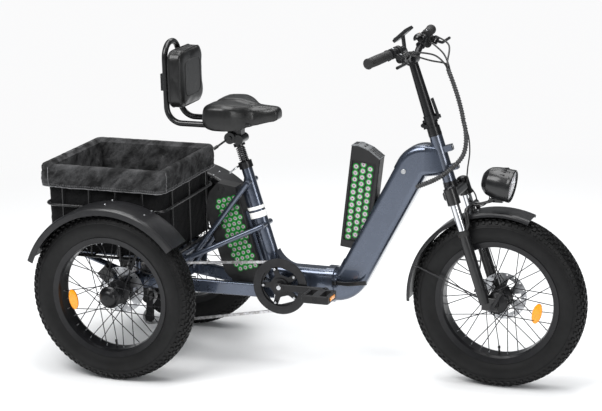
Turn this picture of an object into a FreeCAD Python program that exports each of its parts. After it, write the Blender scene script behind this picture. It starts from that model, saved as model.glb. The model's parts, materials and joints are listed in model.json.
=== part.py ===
import FreeCAD, Part
import os
from math import acos, asin, atan2, cos, degrees, pi, radians, sin, sqrt, tan
import Sketcher
from FreeCAD import Placement, Rotation, Vector

# Adult folding tricycle.  +X forward, +Y to the rider's left, +Z up, millimetres.
# The origin is on the ground, under the middle of the tricycle's overall box.

# ---------------------------------------------------------------------------
# Driving dimensions
# ---------------------------------------------------------------------------
SIZES = (
    ("wheel_radius", 293),          # 20 x 4 inch fat tyre, under load
    ("tyre_half_width", 51),
    ("rim_half_width", 41),
    ("rim_seat_radius", 200),
    ("rim_lip_radius", 209.5),
    ("wheelbase", 1258),
    ("rear_track", 630),
    ("rear_axle_x", -622),
    ("rotor_radius", 80),
    ("rotor_thickness", 2),
    ("head_tilt", 17.5),            # degrees back from upright
    ("head_base_x", 465),
    ("head_base_z", 688),
    ("head_length", 157),
    ("head_radius", 22),
    ("steerer_radius", 14.3),
    ("fork_half_spacing", 72),
    ("fork_leg_offset", 18),
    ("stanchion_radius", 15),
    ("leg_radius", 18),
    ("crank_x", -107),
    ("crank_z", 300),
    ("crank_length", 165),
    ("chain_pitch", 12.7),
    ("chainring_teeth", 42),
    ("cog_teeth", 22),
    ("chain_plane", 80),            # distance of the chain to the right of the middle
    ("motor_radius", 85),
    ("axle_shaft_radius", 10),
    ("tube_depth", 108),            # big bottom and down tube
    ("tube_width", 76),
    ("tube_wall", 3),
    ("tube_corner", 22),
    ("main_tube_z", 300),
    ("down_tube_x", 108.7),         # where the bottom tube bends up into the down tube
    ("down_tube_tilt", 28.6),       # degrees from upright
    ("hump_z", 755),
    ("fold_x", 52),                 # joint face between the two frame halves
    ("fold_pin_y", 57),
    ("seat_tilt", 17),
    ("seat_top_x", -256),
    ("seat_top_z", 691),
    ("seat_tube_radius", 19),
    ("seat_post_radius", 15.4),
    ("pack_length", 355),
    ("pack_depth", 104),
    ("pack_width", 55),
    ("pack_tilt", 21),              # how far the front pack leans out of its slot at rest
    ("pack_lift", 70),              # how far it stands off its foot at rest
    ("rear_pack_width", 58),
    ("basket_length", 464),
    ("basket_width", 460),
    ("basket_floor_z", 393),
    ("basket_rim_z", 705),
    ("basket_x", -697),             # middle of the basket
    ("bar_height", 420),            # handlebar above the head tube's foot, along the steerer
    ("bar_radius", 11.1),
    ("bar_half_width", 335),
)

doc = FreeCAD.newDocument("tricycle")
sheet = doc.addObject("Spreadsheet::Sheet", "dim")
for row, (alias, amount) in enumerate(SIZES, 1):
    sheet.set("A%d" % row, alias)
    sheet.set("B%d" % row, str(amount))
    sheet.setAlias("B%d" % row, alias)
doc.recompute()

NODES = []


def size(name):
    """A driving dimension, read from the sheet."""
    return float(sheet.get(name))


def number(item):
    """A formula on the sheet's names, such as "dim.wheel_radius - 5", or a plain number."""
    if isinstance(item, str):
        return float(sheet.evalExpression(item))
    return float(item)


# ---------------------------------------------------------------------------
# Frames that sub-parts are drawn in
# ---------------------------------------------------------------------------
def tilted(x, z, degrees):
    """A frame in the middle plane whose Z leans forward by degrees (backward if negative)."""
    return Placement(Vector(x, 0, z), Rotation(Vector(0, 1, 0), degrees))


FRONT_AXLE_X = size("rear_axle_x") + size("wheelbase")
HEAD = tilted(size("head_base_x"), size("head_base_z"), -size("head_tilt"))
SEAT = tilted(size("seat_top_x"), size("seat_top_z"), -size("seat_tilt"))
DOWN = tilted(size("down_tube_x"), size("main_tube_z"), size("down_tube_tilt"))
AXLE = HEAD.inverse().multVec(Vector(FRONT_AXLE_X, 0, size("wheel_radius")))
SIDES = (("right", -1), ("left", 1))


# ---------------------------------------------------------------------------
# Helpers: bodies from sketches
# ---------------------------------------------------------------------------
def keep(item, label):
    """Name a sub-part and list it for export."""
    item.Label = label
    NODES.append(item)
    return item


def new_body(label):
    return keep(doc.addObject("PartDesign::Body", label), label)


def sketch_in(body, role, name):
    sketch = body.newObject("Sketcher::SketchObject", name)
    plane = [item for item in body.Origin.OriginFeatures if item.Role == role][0]
    sketch.AttachmentSupport = (plane, "")
    sketch.MapMode = "FlatFace"
    return sketch


def bulge_point(start, end, radius):
    """Middle of the short arc from start to end; positive radius bulges to the right of travel."""
    chord = end - start
    reach = abs(radius)
    rise = reach - sqrt(max(reach ** 2 - (chord.Length / 2) ** 2, 0))
    right = Vector(chord.y, -chord.x, 0).normalize()
    return (start + end) * 0.5 + right * rise * (1 if radius > 0 else -1)


def draw_outline(sketch, corners):
    """Closed outline.  A corner is (x, y), or (x, y, radius) where an arc leaves it."""
    points = [Vector(number(corner[0]), number(corner[1]), 0) for corner in corners]
    count = len(points)
    for index, corner in enumerate(corners):
        start = points[index]
        end = points[(index + 1) % count]
        if len(corner) == 2:
            sketch.addGeometry(Part.LineSegment(start, end))
        else:
            sketch.addGeometry(Part.Arc(start, bulge_point(start, end, number(corner[2])), end))
    ends = []
    for index, corner in enumerate(corners):
        flipped = len(corner) == 3 and number(corner[2]) < 0
        ends.append((2, 1) if flipped else (1, 2))
    for index in range(count):
        following = (index + 1) % count
        sketch.addConstraint(Sketcher.Constraint(
            "Coincident", index, ends[index][1], following, ends[following][0]))
    for index, corner in enumerate(corners):
        for kind, value in (("DistanceX", corner[0]), ("DistanceY", corner[1])):
            fixed = sketch.addConstraint(Sketcher.Constraint(
                kind, -1, 1, index, ends[index][0], number(value)))
            if isinstance(value, str):
                sketch.setExpression("Constraints[%d]" % fixed, value)
        if len(corner) == 3:
            sketch.addConstraint(Sketcher.Constraint("Radius", index, abs(number(corner[2]))))


def draw_circle(sketch, x, y, radius):
    index = sketch.addGeometry(Part.Circle(Vector(number(x), number(y), 0), Vector(0, 0, 1), number(radius)))
    for kind, value in (("DistanceX", x), ("DistanceY", y)):
        fixed = sketch.addConstraint(Sketcher.Constraint(kind, -1, 1, index, 3, number(value)))
        if isinstance(value, str):
            sketch.setExpression("Constraints[%d]" % fixed, value)
    fixed = sketch.addConstraint(Sketcher.Constraint("Radius", index, number(radius)))
    if isinstance(radius, str):
        sketch.setExpression("Constraints[%d]" % fixed, radius)


def turned_body(label, corners, axis="Y"):
    """A body of revolution.  Corners are (radius, place along the axis)."""
    body = new_body(label)
    sketch = sketch_in(body, "XY_Plane" if axis == "Y" else "XZ_Plane", label + "_profile")
    draw_outline(sketch, corners)
    turn = body.newObject("PartDesign::Revolution", label + "_turn")
    turn.Profile = sketch
    turn.ReferenceAxis = (sketch, ["V_Axis"])
    turn.Angle = 360
    return body


def plate_body(label, role, thickness, outline=None, circles=()):
    """A flat plate, symmetric about its sketch plane.  Circles are (x, y, radius)."""
    body = new_body(label)
    sketch = sketch_in(body, role, label + "_outline")
    if outline:
        draw_outline(sketch, outline)
    for circle in circles:
        draw_circle(sketch, *circle)
    pad = body.newObject("PartDesign::Pad", label + "_pad")
    pad.Profile = sketch
    pad.Midplane = True
    pad.Length = number(thickness)
    if isinstance(thickness, str):
        pad.setExpression("Length", thickness)
    return body, pad


def pierce_ring(body, first_sketch, role, label, outline, count):
    """Cut one hole through the body and repeat it around the plate's own axis."""
    doc.recompute()
    before = body.Shape.Volume
    sketch = sketch_in(body, role, label + "_hole")
    if len(outline[0]) == 3 and len(outline) == 1:
        draw_circle(sketch, *outline[0])
    else:
        draw_outline(sketch, outline)
    pocket = body.newObject("PartDesign::Pocket", label + "_cut")
    pocket.Profile = sketch
    pocket.Midplane = True
    pocket.Type = "ThroughAll"
    pattern = body.newObject("PartDesign::PolarPattern", label + "_ring")
    pattern.Originals = [pocket]
    pattern.Axis = (first_sketch, ["N_Axis"])
    pattern.Angle = 360
    pattern.Occurrences = count
    body.Tip = pattern
    doc.recompute()
    if not body.Shape.Volume < before - 1:
        raise SystemExit("the holes of %s cut nothing" % label)


def put(item, placement):
    item.Placement = placement
    return item


def bind_place(item, x=None, y=None, z=None):
    """Tie an object's position to the sheet."""
    for name, text in (("x", x), ("y", y), ("z", z)):
        if text is not None:
            item.setExpression("Placement.Base." + name, text)
    return item


# ---------------------------------------------------------------------------
# Helpers: plain solids
# ---------------------------------------------------------------------------
def feature(label, shape, placement=None):
    """A sub-part whose shape is worked out below; its place comes after its shape."""
    item = doc.addObject("Part::Feature", label)
    item.Shape = shape
    if placement is not None:
        item.Placement = placement
    return keep(item, label)


def joined(shapes):
    """One solid from solids that overlap."""
    whole = shapes[0]
    for shape in shapes[1:]:
        whole = whole.fuse(shape)
    if len(whole.Solids) != 1:
        raise SystemExit("%d solids where one was meant" % len(whole.Solids))
    merged = whole.copy().removeSplitter().Solids[0]
    return merged if merged.isValid() else whole.Solids[0]


def group(shapes):
    return Part.makeCompound(shapes)


def box(low, high):
    corner = Vector(*low)
    return Part.makeBox(high[0] - low[0], high[1] - low[1], high[2] - low[2], corner)


def rod(start, end, radius):
    start = Vector(*start)
    span = Vector(*end) - start
    return Part.makeCylinder(radius, span.Length, start, span)


def ring(start, end, outer, inner):
    return rod(start, end, outer).cut(rod(start, end, inner))


def cone(start, end, first_radius, last_radius):
    start = Vector(*start)
    span = Vector(*end) - start
    return Part.makeCone(first_radius, last_radius, span.Length, start, span)


def section(origin, direction, width, depth, corner):
    """A rounded rectangle across a direction; its width lies level."""
    origin = Vector(*origin)
    direction = Vector(*direction).normalize()
    side = direction.cross(Vector(0, 0, 1)).normalize()
    up = side.cross(direction)
    half_w = width / 2
    half_d = depth / 2
    edges = []
    turns = ((1, 1), (-1, 1), (-1, -1), (1, -1))
    if corner <= 0:
        points = [origin + side * a * half_w + up * b * half_d for a, b in turns]
        return Part.Wire(Part.makePolygon(points + points[:1]))
    previous = None
    first = None
    for a, b in turns:
        centre = origin + side * a * (half_w - corner) + up * b * (half_d - corner)
        swap = a * b > 0
        out = (side * a, up * b) if swap else (up * b, side * a)
        start = centre + out[0] * corner
        middle = centre + (out[0] + out[1]).normalize() * corner
        end = centre + out[1] * corner
        if previous is not None:
            edges.append(Part.LineSegment(previous, start).toShape())
        else:
            first = start
        edges.append(Part.Arc(start, middle, end).toShape())
        previous = end
    edges.append(Part.LineSegment(previous, first).toShape())
    return Part.Wire(edges)


def beam(start, end, width, depth, corner=0):
    """A straight bar of rounded rectangular section."""
    span = Vector(*end) - Vector(*start)
    return Part.Face(section(start, span, width, depth, corner)).extrude(span)


def bent_path(points, radius):
    """A wire through points whose corners are rounded."""
    points = [Vector(*point) for point in points]
    edges = []
    here = points[0]
    for index in range(1, len(points) - 1):
        corner = points[index]
        back = (points[index - 1] - corner).normalize()
        ahead = (points[index + 1] - corner).normalize()
        half = back.getAngle(ahead) / 2
        trim = radius / tan(half)
        start = corner + back * trim
        end = corner + ahead * trim
        middle = corner + (back + ahead).normalize() * (radius / sin(half) - radius)
        if (start - here).Length > 1e-6:
            edges.append(Part.LineSegment(here, start).toShape())
        edges.append(Part.Arc(start, middle, end).toShape())
        here = end
    edges.append(Part.LineSegment(here, points[-1]).toShape())
    return Part.Wire(edges)


def swept(path, profile):
    shape = path.makePipeShell([profile], True, False)
    return shape.Solids[0] if shape.Solids else Part.Solid(Part.Shell(shape.Faces))


def bent_rod(points, bend, radius):
    """Round bar or the outside of a tube, bent at each corner."""
    path = bent_path(points, bend)
    start = Vector(*points[0])
    direction = Vector(*points[1]) - start
    profile = Part.Wire(Part.Circle(start, direction, radius).toShape())
    return swept(path, profile)


def bent_tube(points, bend, radius, wall):
    return bent_rod(points, bend, radius).cut(bent_rod(points, bend, radius - wall))


def flat_prism(points, half_width):
    """An outline in the middle plane, as (x, z), spread sideways."""
    corners = [Vector(x, -half_width, z) for x, z in points]
    face = Part.Face(Part.makePolygon(corners + corners[:1]))
    return face.extrude(Vector(0, 2 * half_width, 0))


# ---------------------------------------------------------------------------
# Wheels: drawn about their own axle, which lies along Y
# ---------------------------------------------------------------------------
SPOKES = 36


def tyre(label):
    """Fat tyre carcass, open at the beads."""
    seat = "dim.rim_seat_radius + 0.2"
    lip = "dim.rim_lip_radius + 0.6"
    wide = "dim.tyre_half_width"
    low = "-dim.tyre_half_width"
    return turned_body(label, (
        (seat, 35.5),
        (lip, 37, -90),
        (248, wide, -60),
        ("dim.wheel_radius - 12", 36, -24),
        ("dim.wheel_radius - 2.2", 26, -155),
        ("dim.wheel_radius - 2.2", -26, -24),
        ("dim.wheel_radius - 12", -36, -60),
        (248, low, -90),
        (lip, -37),
        (seat, -35.5),
        (seat, -27),
        (214, -32, 90),
        (248, -46, 55),
        ("dim.wheel_radius - 22", -30, 120),
        ("dim.wheel_radius - 22", 30, 55),
        (248, 46, 90),
        (214, 32),
        (seat, 27),
    ))


def rim(label):
    """Wide box-section rim with a lip at each side."""
    edge = "dim.rim_half_width"
    lip = "dim.rim_lip_radius"
    seat = "dim.rim_seat_radius"
    return turned_body(label, (
        (lip, edge), (lip, "dim.rim_half_width - 3.5"), (seat, "dim.rim_half_width - 4.5"),
        (seat, "-dim.rim_half_width + 4.5"), (lip, "-dim.rim_half_width + 3.5"),
        (lip, "-dim.rim_half_width"), (191, -37), (187, -24), (187, 24), (191, 37),
    ))


def spokes(flange_radius, flange_y, outer_radius=186.3, thickness=1.1):
    """Crossed spokes from two hub flanges to the rim."""
    bars = []
    for index in range(SPOKES):
        side = 1 if index % 2 else -1
        lean = 1 if index % 4 < 2 else -1
        rim_angle = 2 * pi * index / SPOKES
        hub_angle = rim_angle + lean * radians(62)
        start = (flange_radius * cos(hub_angle), side * flange_y, flange_radius * sin(hub_angle))
        end = (outer_radius * cos(rim_angle), side * 9, outer_radius * sin(rim_angle))
        bars.append(rod(start, end, thickness))
    return group(bars)


def rotor(label):
    """Ventilated brake disc with six bolt holes."""
    body, pad = plate_body(label, "XZ_Plane", "dim.rotor_thickness", None,
                           ((0, 0, "dim.rotor_radius"), (0, 0, 17.1)))
    first = pad.Profile[0]
    arm = (
        (24, -7), ("dim.rotor_radius - 19", -13), ("dim.rotor_radius - 19", 13), (24, 7),
    )
    pierce_ring(body, first, "XZ_Plane", label + "_arm", arm, 6)
    pierce_ring(body, first, "XZ_Plane", label + "_vent", (("dim.rotor_radius - 6", 0, 2.5),), 18)
    return body


def hub_front(label):
    """Front hub: a fat barrel with spoke flanges and a spigot for the brake disc on the left."""
    return turned_body(label, (
        (5.1, -66), (11, -66), (13, -52), (33, -42), (37, -38), (37, -34), (34, -33), (34, -10), (36, -8),
        (36, 8), (34, 10), (34, 33), (37, 34), (37, 38), (33, 40), (24, 44), (24, 48.9), (17, 48.9),
        (17, 54), (11, 66), (5.1, 66),
    ))


def hub_rear(label):
    """Rear hub turned with its stub shaft; the capped end points along +Y."""
    shaft = "dim.axle_shaft_radius"
    return turned_body(label, (
        (0, 58), (14, 57, -20), (29, 46), (33, 40), (38, 36), (38, 31), (26, 28), (26, -26),
        (42, -31), (42, -36), (24, -40), (22, -60.9), (17, -60.9), (17, -65), (shaft, -65),
        (shaft, "-dim.rear_track / 2 + 70"), (0, "-dim.rear_track / 2 + 70"),
    ))


def front_wheel():
    centre = Placement(Vector(FRONT_AXLE_X, 0, size("wheel_radius")), Rotation())
    parts = [tyre("front_tyre"), rim("front_rim"), hub_front("front_hub"), rotor("front_rotor")]
    parts.append(feature("front_spokes", spokes(38.4, 36)))
    for item in parts:
        put(item, centre)
        bind_place(item, "dim.rear_axle_x + dim.wheelbase", None, "dim.wheel_radius")
    parts[3].setExpression("Placement.Base.y", "49 + dim.rotor_thickness / 2")


def rear_wheel(name, side):
    facing = Rotation(Vector(0, 0, 1), 0 if side > 0 else 180)
    hub = Vector(size("rear_axle_x"), side * size("rear_track") / 2, size("wheel_radius"))
    centre = Placement(hub, facing)
    disc = rotor(name + "_rotor")
    parts = [tyre(name + "_tyre"), rim(name + "_rim"), hub_rear(name + "_hub"), disc]
    parts.append(feature(name + "_spokes", spokes(43.4, 33.5)))
    for item in parts:
        put(item, centre)
        bind_place(item, "dim.rear_axle_x", "%d * dim.rear_track / 2" % side, "dim.wheel_radius")
    disc.setExpression("Placement.Base.y", "%d * (dim.rear_track / 2 - 62)" % side)


# ---------------------------------------------------------------------------
# Rear half of the frame
# ---------------------------------------------------------------------------
def seat_tube():
    """Round tube that swells into an oval, in the seat tube's own frame."""
    radius = size("seat_tube_radius")
    oval_x = -11
    ellipse = Part.Ellipse(Vector(oval_x, 0, -78), 30, 22).toShape()
    neck = Part.makeLoft([
        Part.Wire(Part.Circle(Vector(0, 0, -36), Vector(0, 0, 1), radius).toShape()),
        Part.Wire(ellipse),
    ], True, False)
    low = Part.Face(Part.Wire(ellipse)).extrude(Vector(0, 0, -362))
    rail = box((oval_x - 38.5, -14, -392), (oval_x - 26, 14, -150))
    solids = [rod((0, 0, 12), (0, 0, -36), radius), neck, low, rail]
    for solid in solids:
        solid.Placement = SEAT.multiply(solid.Placement)
    return solids


def hinge_collar(x_low, x_high, knuckles):
    """Flange at the frame joint with the knuckles of the fold hinge on its left side."""
    pin_y = size("fold_pin_y")
    middle = size("main_tube_z")
    plate = beam((x_low, 0, middle), (x_high, 0, middle), size("tube_width") + 12,
                 size("tube_depth") + 10, 26)
    parts = [plate]
    for low, high in knuckles:
        parts.append(rod((size("fold_x"), pin_y, low), (size("fold_x"), pin_y, high), 11))
        parts.append(box((x_low, 34, low), (x_high, pin_y, high)))
    return parts


def hinge_bore():
    x = size("fold_x")
    y = size("fold_pin_y")
    return rod((x, y, 200), (x, y, 400), 5.05)


def rear_frame():
    middle = size("main_tube_z")
    width = size("tube_width")
    depth = size("tube_depth")
    wall = size("tube_wall")
    corner = size("tube_corner")
    crank = (size("crank_x"), size("crank_z"))
    axle_x = size("rear_axle_x")
    axle_z = size("wheel_radius")
    tube_end = -165
    solids = [beam((tube_end, 0, middle), (size("fold_x") - 12, 0, middle), width, depth, corner)]
    hollow = beam((tube_end + 45, 0, middle), (size("fold_x") - 20, 0, middle),
                  width - 2 * wall, depth - 2 * wall, corner - wall)
    solids[0] = solids[0].cut(hollow)
    solids += hinge_collar(size("fold_x") - 14, size("fold_x") - 0.1, ((262, 289.8), (310.2, 338)))
    solids.append(rod((crank[0], -width / 2 - 2, crank[1]), (crank[0], width / 2 + 2, crank[1]), 22))
    solids += seat_tube()
    solids.append(saddle_gusset())
    rack_z = 378
    rack_y = 120
    rack_front = -470
    rack_back = -900
    for side in (-1, 1):
        solids.append(beam((-150, side * 30, 262), (-600, side * 124, 288), 24, 46, 6))
        solids.append(rod((-238, side * 37, 640), (-506, side * 60, 288), 9.5))
        solids.append(rod((-188, side * 34, 492), (-604, side * 124, 300), 9.5))
        solids.append(rod((axle_x, side * 112, axle_z), (axle_x, side * 236.9, axle_z), 28))
        solids.append(rod((axle_x, side * 214, axle_z), (axle_x, side * 236.9, axle_z), 34))
        solids.append(caliper_arm(side))
        solids.append(rod((axle_x, side * rack_y, axle_z + 24), (axle_x, side * rack_y, rack_z), 10))
        solids.append(rod((axle_x - 12, side * 124, axle_z + 10),
                          (rack_back + 30, side * rack_y, rack_z), 10))
        solids.append(rod((rack_front, side * 97, 300), (rack_front, side * rack_y, rack_z), 10))
        solids.append(rod((rack_front + 8, side * rack_y, rack_z),
                          (rack_back - 8, side * rack_y, rack_z), 9.6))
    for x in (rack_front, rack_back):
        solids.append(rod((x, -rack_y, rack_z), (x, rack_y, rack_z), 9.4))
    for x, z in ((-238, 640), (-188, 492)):
        solids.append(rod((x, -39, z), (x, 39, z), 9.4))
    solids.append(box((-520, -96, 272), (-492, 96, 302)))
    frame = joined(solids)
    cuts = [rod((crank[0], -60, crank[1]), (crank[0], 60, crank[1]), 17.05), hinge_bore()]
    for side in (-1, 1):
        cuts.append(rod((axle_x, side * 100, axle_z), (axle_x, side * 250, axle_z), 21.05))
    post_bore = rod((0, 0, 30), (0, 0, -250), size("seat_post_radius") + 0.05)
    post_bore.Placement = SEAT
    cuts.append(post_bore)
    for tool in cuts:
        frame = frame.cut(tool)
    return feature("rear_frame", frame.Solids[0])


def saddle_gusset():
    """Smooth web between the seat tube and the top of the bottom tube."""
    half = 19
    start = Vector(-146, -half, 404)
    dip = Vector(-128, -half, 378)
    end = Vector(-52, -half, 352)
    root = Vector(-150, -half, 330)
    arc = Part.Arc(start, dip, end).toShape()
    outline = Part.Wire([arc, Part.LineSegment(end, root).toShape(), Part.LineSegment(root, start).toShape()])
    return Part.Face(outline).extrude(Vector(0, 2 * half, 0))


def caliper_arm(side):
    """Flat arm on the axle carrier that a rear brake caliper bolts to."""
    x = size("rear_axle_x")
    z = size("wheel_radius")
    inner = side * 224
    outer = side * 236.9
    low, high = min(inner, outer), max(inner, outer)
    arm = Part.makeBox(26, high - low, 90, Vector(-13, low, 0))
    arm.Placement = Placement(Vector(x, 0, z), Rotation(Vector(0, 1, 0), -45))
    return arm


def frame_bearings():
    """Axle bearings in the carriers and the two bottom bracket bearings."""
    axle_x = size("rear_axle_x")
    axle_z = size("wheel_radius")
    shaft = size("axle_shaft_radius") + 0.05
    rings = []
    for side in (-1, 1):
        for place in (118, 222):
            rings.append(ring((axle_x, side * place, axle_z),
                              (axle_x, side * (place + 12), axle_z), 21, shaft))
        rings.append(ring((size("crank_x"), side * 24, size("crank_z")),
                          (size("crank_x"), side * 36, size("crank_z")), 17, 10.05))
    return feature("rear_bearings", group(rings))


# ---------------------------------------------------------------------------
# Front half of the frame
# ---------------------------------------------------------------------------
SLOT_START = 78
SLOT_END = 458
LATCH_PIVOT = (76, -52)
PACK_PIVOT = DOWN.multVec(Vector(33, 0, 78))


def front_frame():
    middle = size("main_tube_z")
    width = size("tube_width")
    depth = size("tube_depth")
    wall = size("tube_wall")
    corner = size("tube_corner")
    hump_z = size("hump_z")
    bend_x = size("down_tube_x")
    hump_x = bend_x + (hump_z - middle) * tan(radians(size("down_tube_tilt")))
    neck_x = hump_x + 34
    start_x = size("fold_x") + 0.1
    points = [(start_x, 0, middle), (bend_x, 0, middle), (hump_x, 0, hump_z)]
    low_bend = bent_path(points, 70)
    outer = swept(low_bend, section(points[0], (1, 0, 0), width, depth, corner))
    inner = swept(bent_path([(start_x + 14, 0, middle)] + points[1:3], 70),
                  section((start_x + 14, 0, middle), (1, 0, 0), width - 2 * wall,
                          depth - 2 * wall, corner - wall))
    along = Vector(*points[2]) - Vector(*points[1])
    crest_start = Vector(*points[2]) - along.normalize() * 90
    crest_points = [tuple(crest_start), points[2], (neck_x, 0, hump_z)]
    cutter = Part.makeBox(900, 400, 400, Vector(-450, -200, 0))
    cutter.Placement = Placement(crest_start, DOWN.Rotation)
    outer = outer.cut(cutter)
    inner = inner.cut(cutter)
    crest = swept(bent_path(crest_points, 57), section(crest_points[0], along, width, depth, corner))
    nose = Part.makeLoft([
        section((neck_x, 0, hump_z), (1, 0, 0), width, depth, corner),
        section_on_head(42, 96, 12, hump_z),
    ], True, True)
    crest_hollow = swept(bent_path(crest_points, 57), section(crest_points[0], along, width - 2 * wall,
                                                               depth - 2 * wall, corner - wall))
    head = rod((0, 0, 0), (0, 0, size("head_length")), size("head_radius"))
    head.Placement = HEAD
    tabs = [box((10, -13, z - 10), (44, 13, z + 10)) for z in (42, 106)]
    for tab in tabs:
        tab.Placement = HEAD
    solids = [outer, crest, nose, head] + tabs
    solids += hinge_collar(start_x, size("fold_x") + 14, ((290.2, 309.8),))
    x, y = LATCH_PIVOT
    for low in (304, 325.4):
        solids.append(box((x - 8, y - 8, low), (x + 8, -34, low + 6.6)))
    frame = joined(solids)
    slot = box((-70, -30, SLOT_START), (-44, 30, SLOT_END))
    slot.Placement = DOWN
    bore = rod((0, 0, -5), (0, 0, size("head_length") + 5), 17)
    bore.Placement = HEAD
    cuts = [inner, crest_hollow, slot, bore, hinge_bore()]
    cuts.append(rod(LATCH_PIVOT + (295,), LATCH_PIVOT + (340,), 3.05))
    for z in (42, 106):
        hole = rod((24, 0, z), (60, 0, z), 2.5)
        hole.Placement = HEAD
        cuts.append(hole)
    for tool in cuts:
        frame = frame.cut(tool)
    return feature("front_frame", frame.Solids[0])


def section_on_head(width, depth, corner, z):
    """Section in the plane of the head tube's axis, where the down tube lands."""
    up = HEAD.Rotation.multVec(Vector(0, 0, 1))
    foot = HEAD.Base
    reach = (z - foot.z) / up.z
    centre = foot + up * reach
    forward = HEAD.Rotation.multVec(Vector(1, 0, 0))
    return section(tuple(centre), tuple(forward), width, depth, corner)


def frame_hinge():
    x = size("fold_x")
    y = size("fold_pin_y")
    pin = joined([rod((x, y, 259), (x, y, 341), 5), rod((x, y, 338.2), (x, y, 343), 8),
                  rod((x, y, 257), (x, y, 261.8), 8)])
    feature("frame_hinge_pin", pin)
    x, y = LATCH_PIVOT
    boss = joined([rod((x, y, 311), (x, y, 325), 7), rod((x, y, 303), (x, y, 333), 3)])
    blade = beam((x - 9, y + 1, 318), (x + 46, y - 2, 318), 6, 13, 2)
    handle = beam((x + 44, y - 2, 318), (x + 116, y - 8, 330), 7, 15, 3)
    feature("frame_latch", joined([boss, blade, handle]))


# ---------------------------------------------------------------------------
# Front battery pack, leaning out of its slot
# ---------------------------------------------------------------------------
def front_pack():
    """Pack and the foot it is hinged to, drawn from the hinge with Z along the pack."""
    open_pose = Placement(PACK_PIVOT, Rotation(Vector(0, 1, 0), size("down_tube_tilt") - size("pack_tilt")))
    front = 6
    back = front - size("pack_depth")
    low = 8 + size("pack_lift")
    top = low + size("pack_length")
    half = size("pack_width") / 2
    case = flat_prism([(back, low), (front, low), (front, top - 32), (back + 62, top - 9),
                       (back + 24, top), (back, top - 4)], half)
    case = case.makeFillet(6, [edge for edge in case.Edges if edge.BoundBox.YLength < 0.1
                               and edge.BoundBox.ZLength > 200])
    for side in (-1, 1):
        near = min(side * (half - 3), side * (half + 5))
        case = case.cut(box((back + 9, near, low + 26), (front - 14, near + 8, top - 52)))
    feature("front_battery", case, open_pose)
    foot = joined([box((-52, -26, -3), (4, 26, 7)), rod((0, -32, 0), (0, 32, 0), 4)])
    feature("battery_cradle", foot, open_pose)


def rear_pack():
    """The second pack, behind the seat tube."""
    half = size("rear_pack_width") / 2
    outline = [(-50, -396), (-50, -58), (-111, -28), (-150, -52), (-178, -96), (-188, -140),
               (-188, -330), (-160, -384), (-120, -396)]
    case = flat_prism(outline, half)
    long_edges = [edge for edge in case.Edges if edge.BoundBox.YLength < 0.1 and edge.Length > 100]
    case = case.makeFillet(7, long_edges)
    feature("rear_battery", case, SEAT)


# ---------------------------------------------------------------------------
# Fork, in the steerer's own frame
# ---------------------------------------------------------------------------
ARCH_Z = -98


def fork():
    spread = size("fork_half_spacing")
    lean = size("fork_leg_offset")
    stanchion = size("stanchion_radius")
    leg = size("leg_radius")
    steerer = rod((0, 0, -30), (0, 0, size("head_length") + 35), size("steerer_radius"))
    crown = [beam((lean - 6, -spread, -36), (lean - 6, spread, -36), 46, 30, 8), steerer,
             rod((0, 0, -40), (0, 0, -11.4), 24)]
    for side in (-1, 1):
        crown.append(rod((lean, side * spread, -68), (lean, side * spread, -14), 22))
        crown.append(rod((lean, side * spread, -300), (lean, side * spread, -40), stanchion))
    feature("fork_crown", joined(crown), HEAD)
    lowers = []
    for side in (-1, 1):
        y = side * spread
        tube = rod((lean, y, -412), (lean, y, -162), leg)
        foot = beam((lean - 10, side * 73, -410), (AXLE.x + 14, side * 73, AXLE.z), 9, 44, 4)
        lowers.append(joined([tube, foot]).cut(rod((lean, y, -404), (lean, y, -150), stanchion + 0.06)))
    arch = bent_rod([(lean + 4, -spread, -172), (lean + 24, -spread + 2, -140), (lean + 30, -66, ARCH_Z),
                     (lean + 30, 66, ARCH_Z), (lean + 24, spread - 2, -140),
                     (lean + 4, spread, -172)], 12, 7.5)
    arch = arch.cut(rod((lean, -spread, -404), (lean, -spread, -100), leg - 1))
    arch = arch.cut(rod((lean, spread, -404), (lean, spread, -100), leg - 1))
    mount = box((-3.2, 55, -404), (6, 70, -362)).cut(rod((lean, spread, -412), (lean, spread, -150), leg - 1))
    shape = joined([lowers[0], lowers[1], arch, mount])
    shape = shape.cut(rod((AXLE.x, -90, AXLE.z), (AXLE.x, 90, AXLE.z), 5.05))
    feature("fork_lowers", shape.Solids[0], HEAD)
    axle = joined([rod((AXLE.x, -88, AXLE.z), (AXLE.x, 88, AXLE.z), 5),
                   rod((AXLE.x, 77.8, AXLE.z), (AXLE.x, 86, AXLE.z), 10),
                   rod((AXLE.x, -90, AXLE.z), (AXLE.x, -77.8, AXLE.z), 10),
                   beam((AXLE.x, -88, AXLE.z), (AXLE.x + 42, -93, AXLE.z + 42), 7, 11, 3)])
    feature("front_axle", axle, HEAD)
    cups = [ring((0, 0, -11.2), (0, 0, -0.2), 23, size("steerer_radius") + 0.05),
            ring((0, 0, size("head_length") + 0.2), (0, 0, size("head_length") + 8.6), 22.5,
                 size("steerer_radius") + 0.05)]
    feature("headset_bearings", group(cups), HEAD)


def caliper_block(side, slot_low, slot_high, back):
    """Brake caliper on a disc's rim; drawn with the disc's centre at the origin."""
    low, high = min(side * slot_low, side * slot_high), max(side * slot_low, side * slot_high)
    inner, outer = min(side * back[0], side * back[1]), max(side * back[0], side * back[1])
    block = Part.makeBox(44, outer - inner, 46, Vector(-22, inner, 52))
    return block.cut(rod((0, low, 0), (0, high, 0), size("rotor_radius") + 2))


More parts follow.
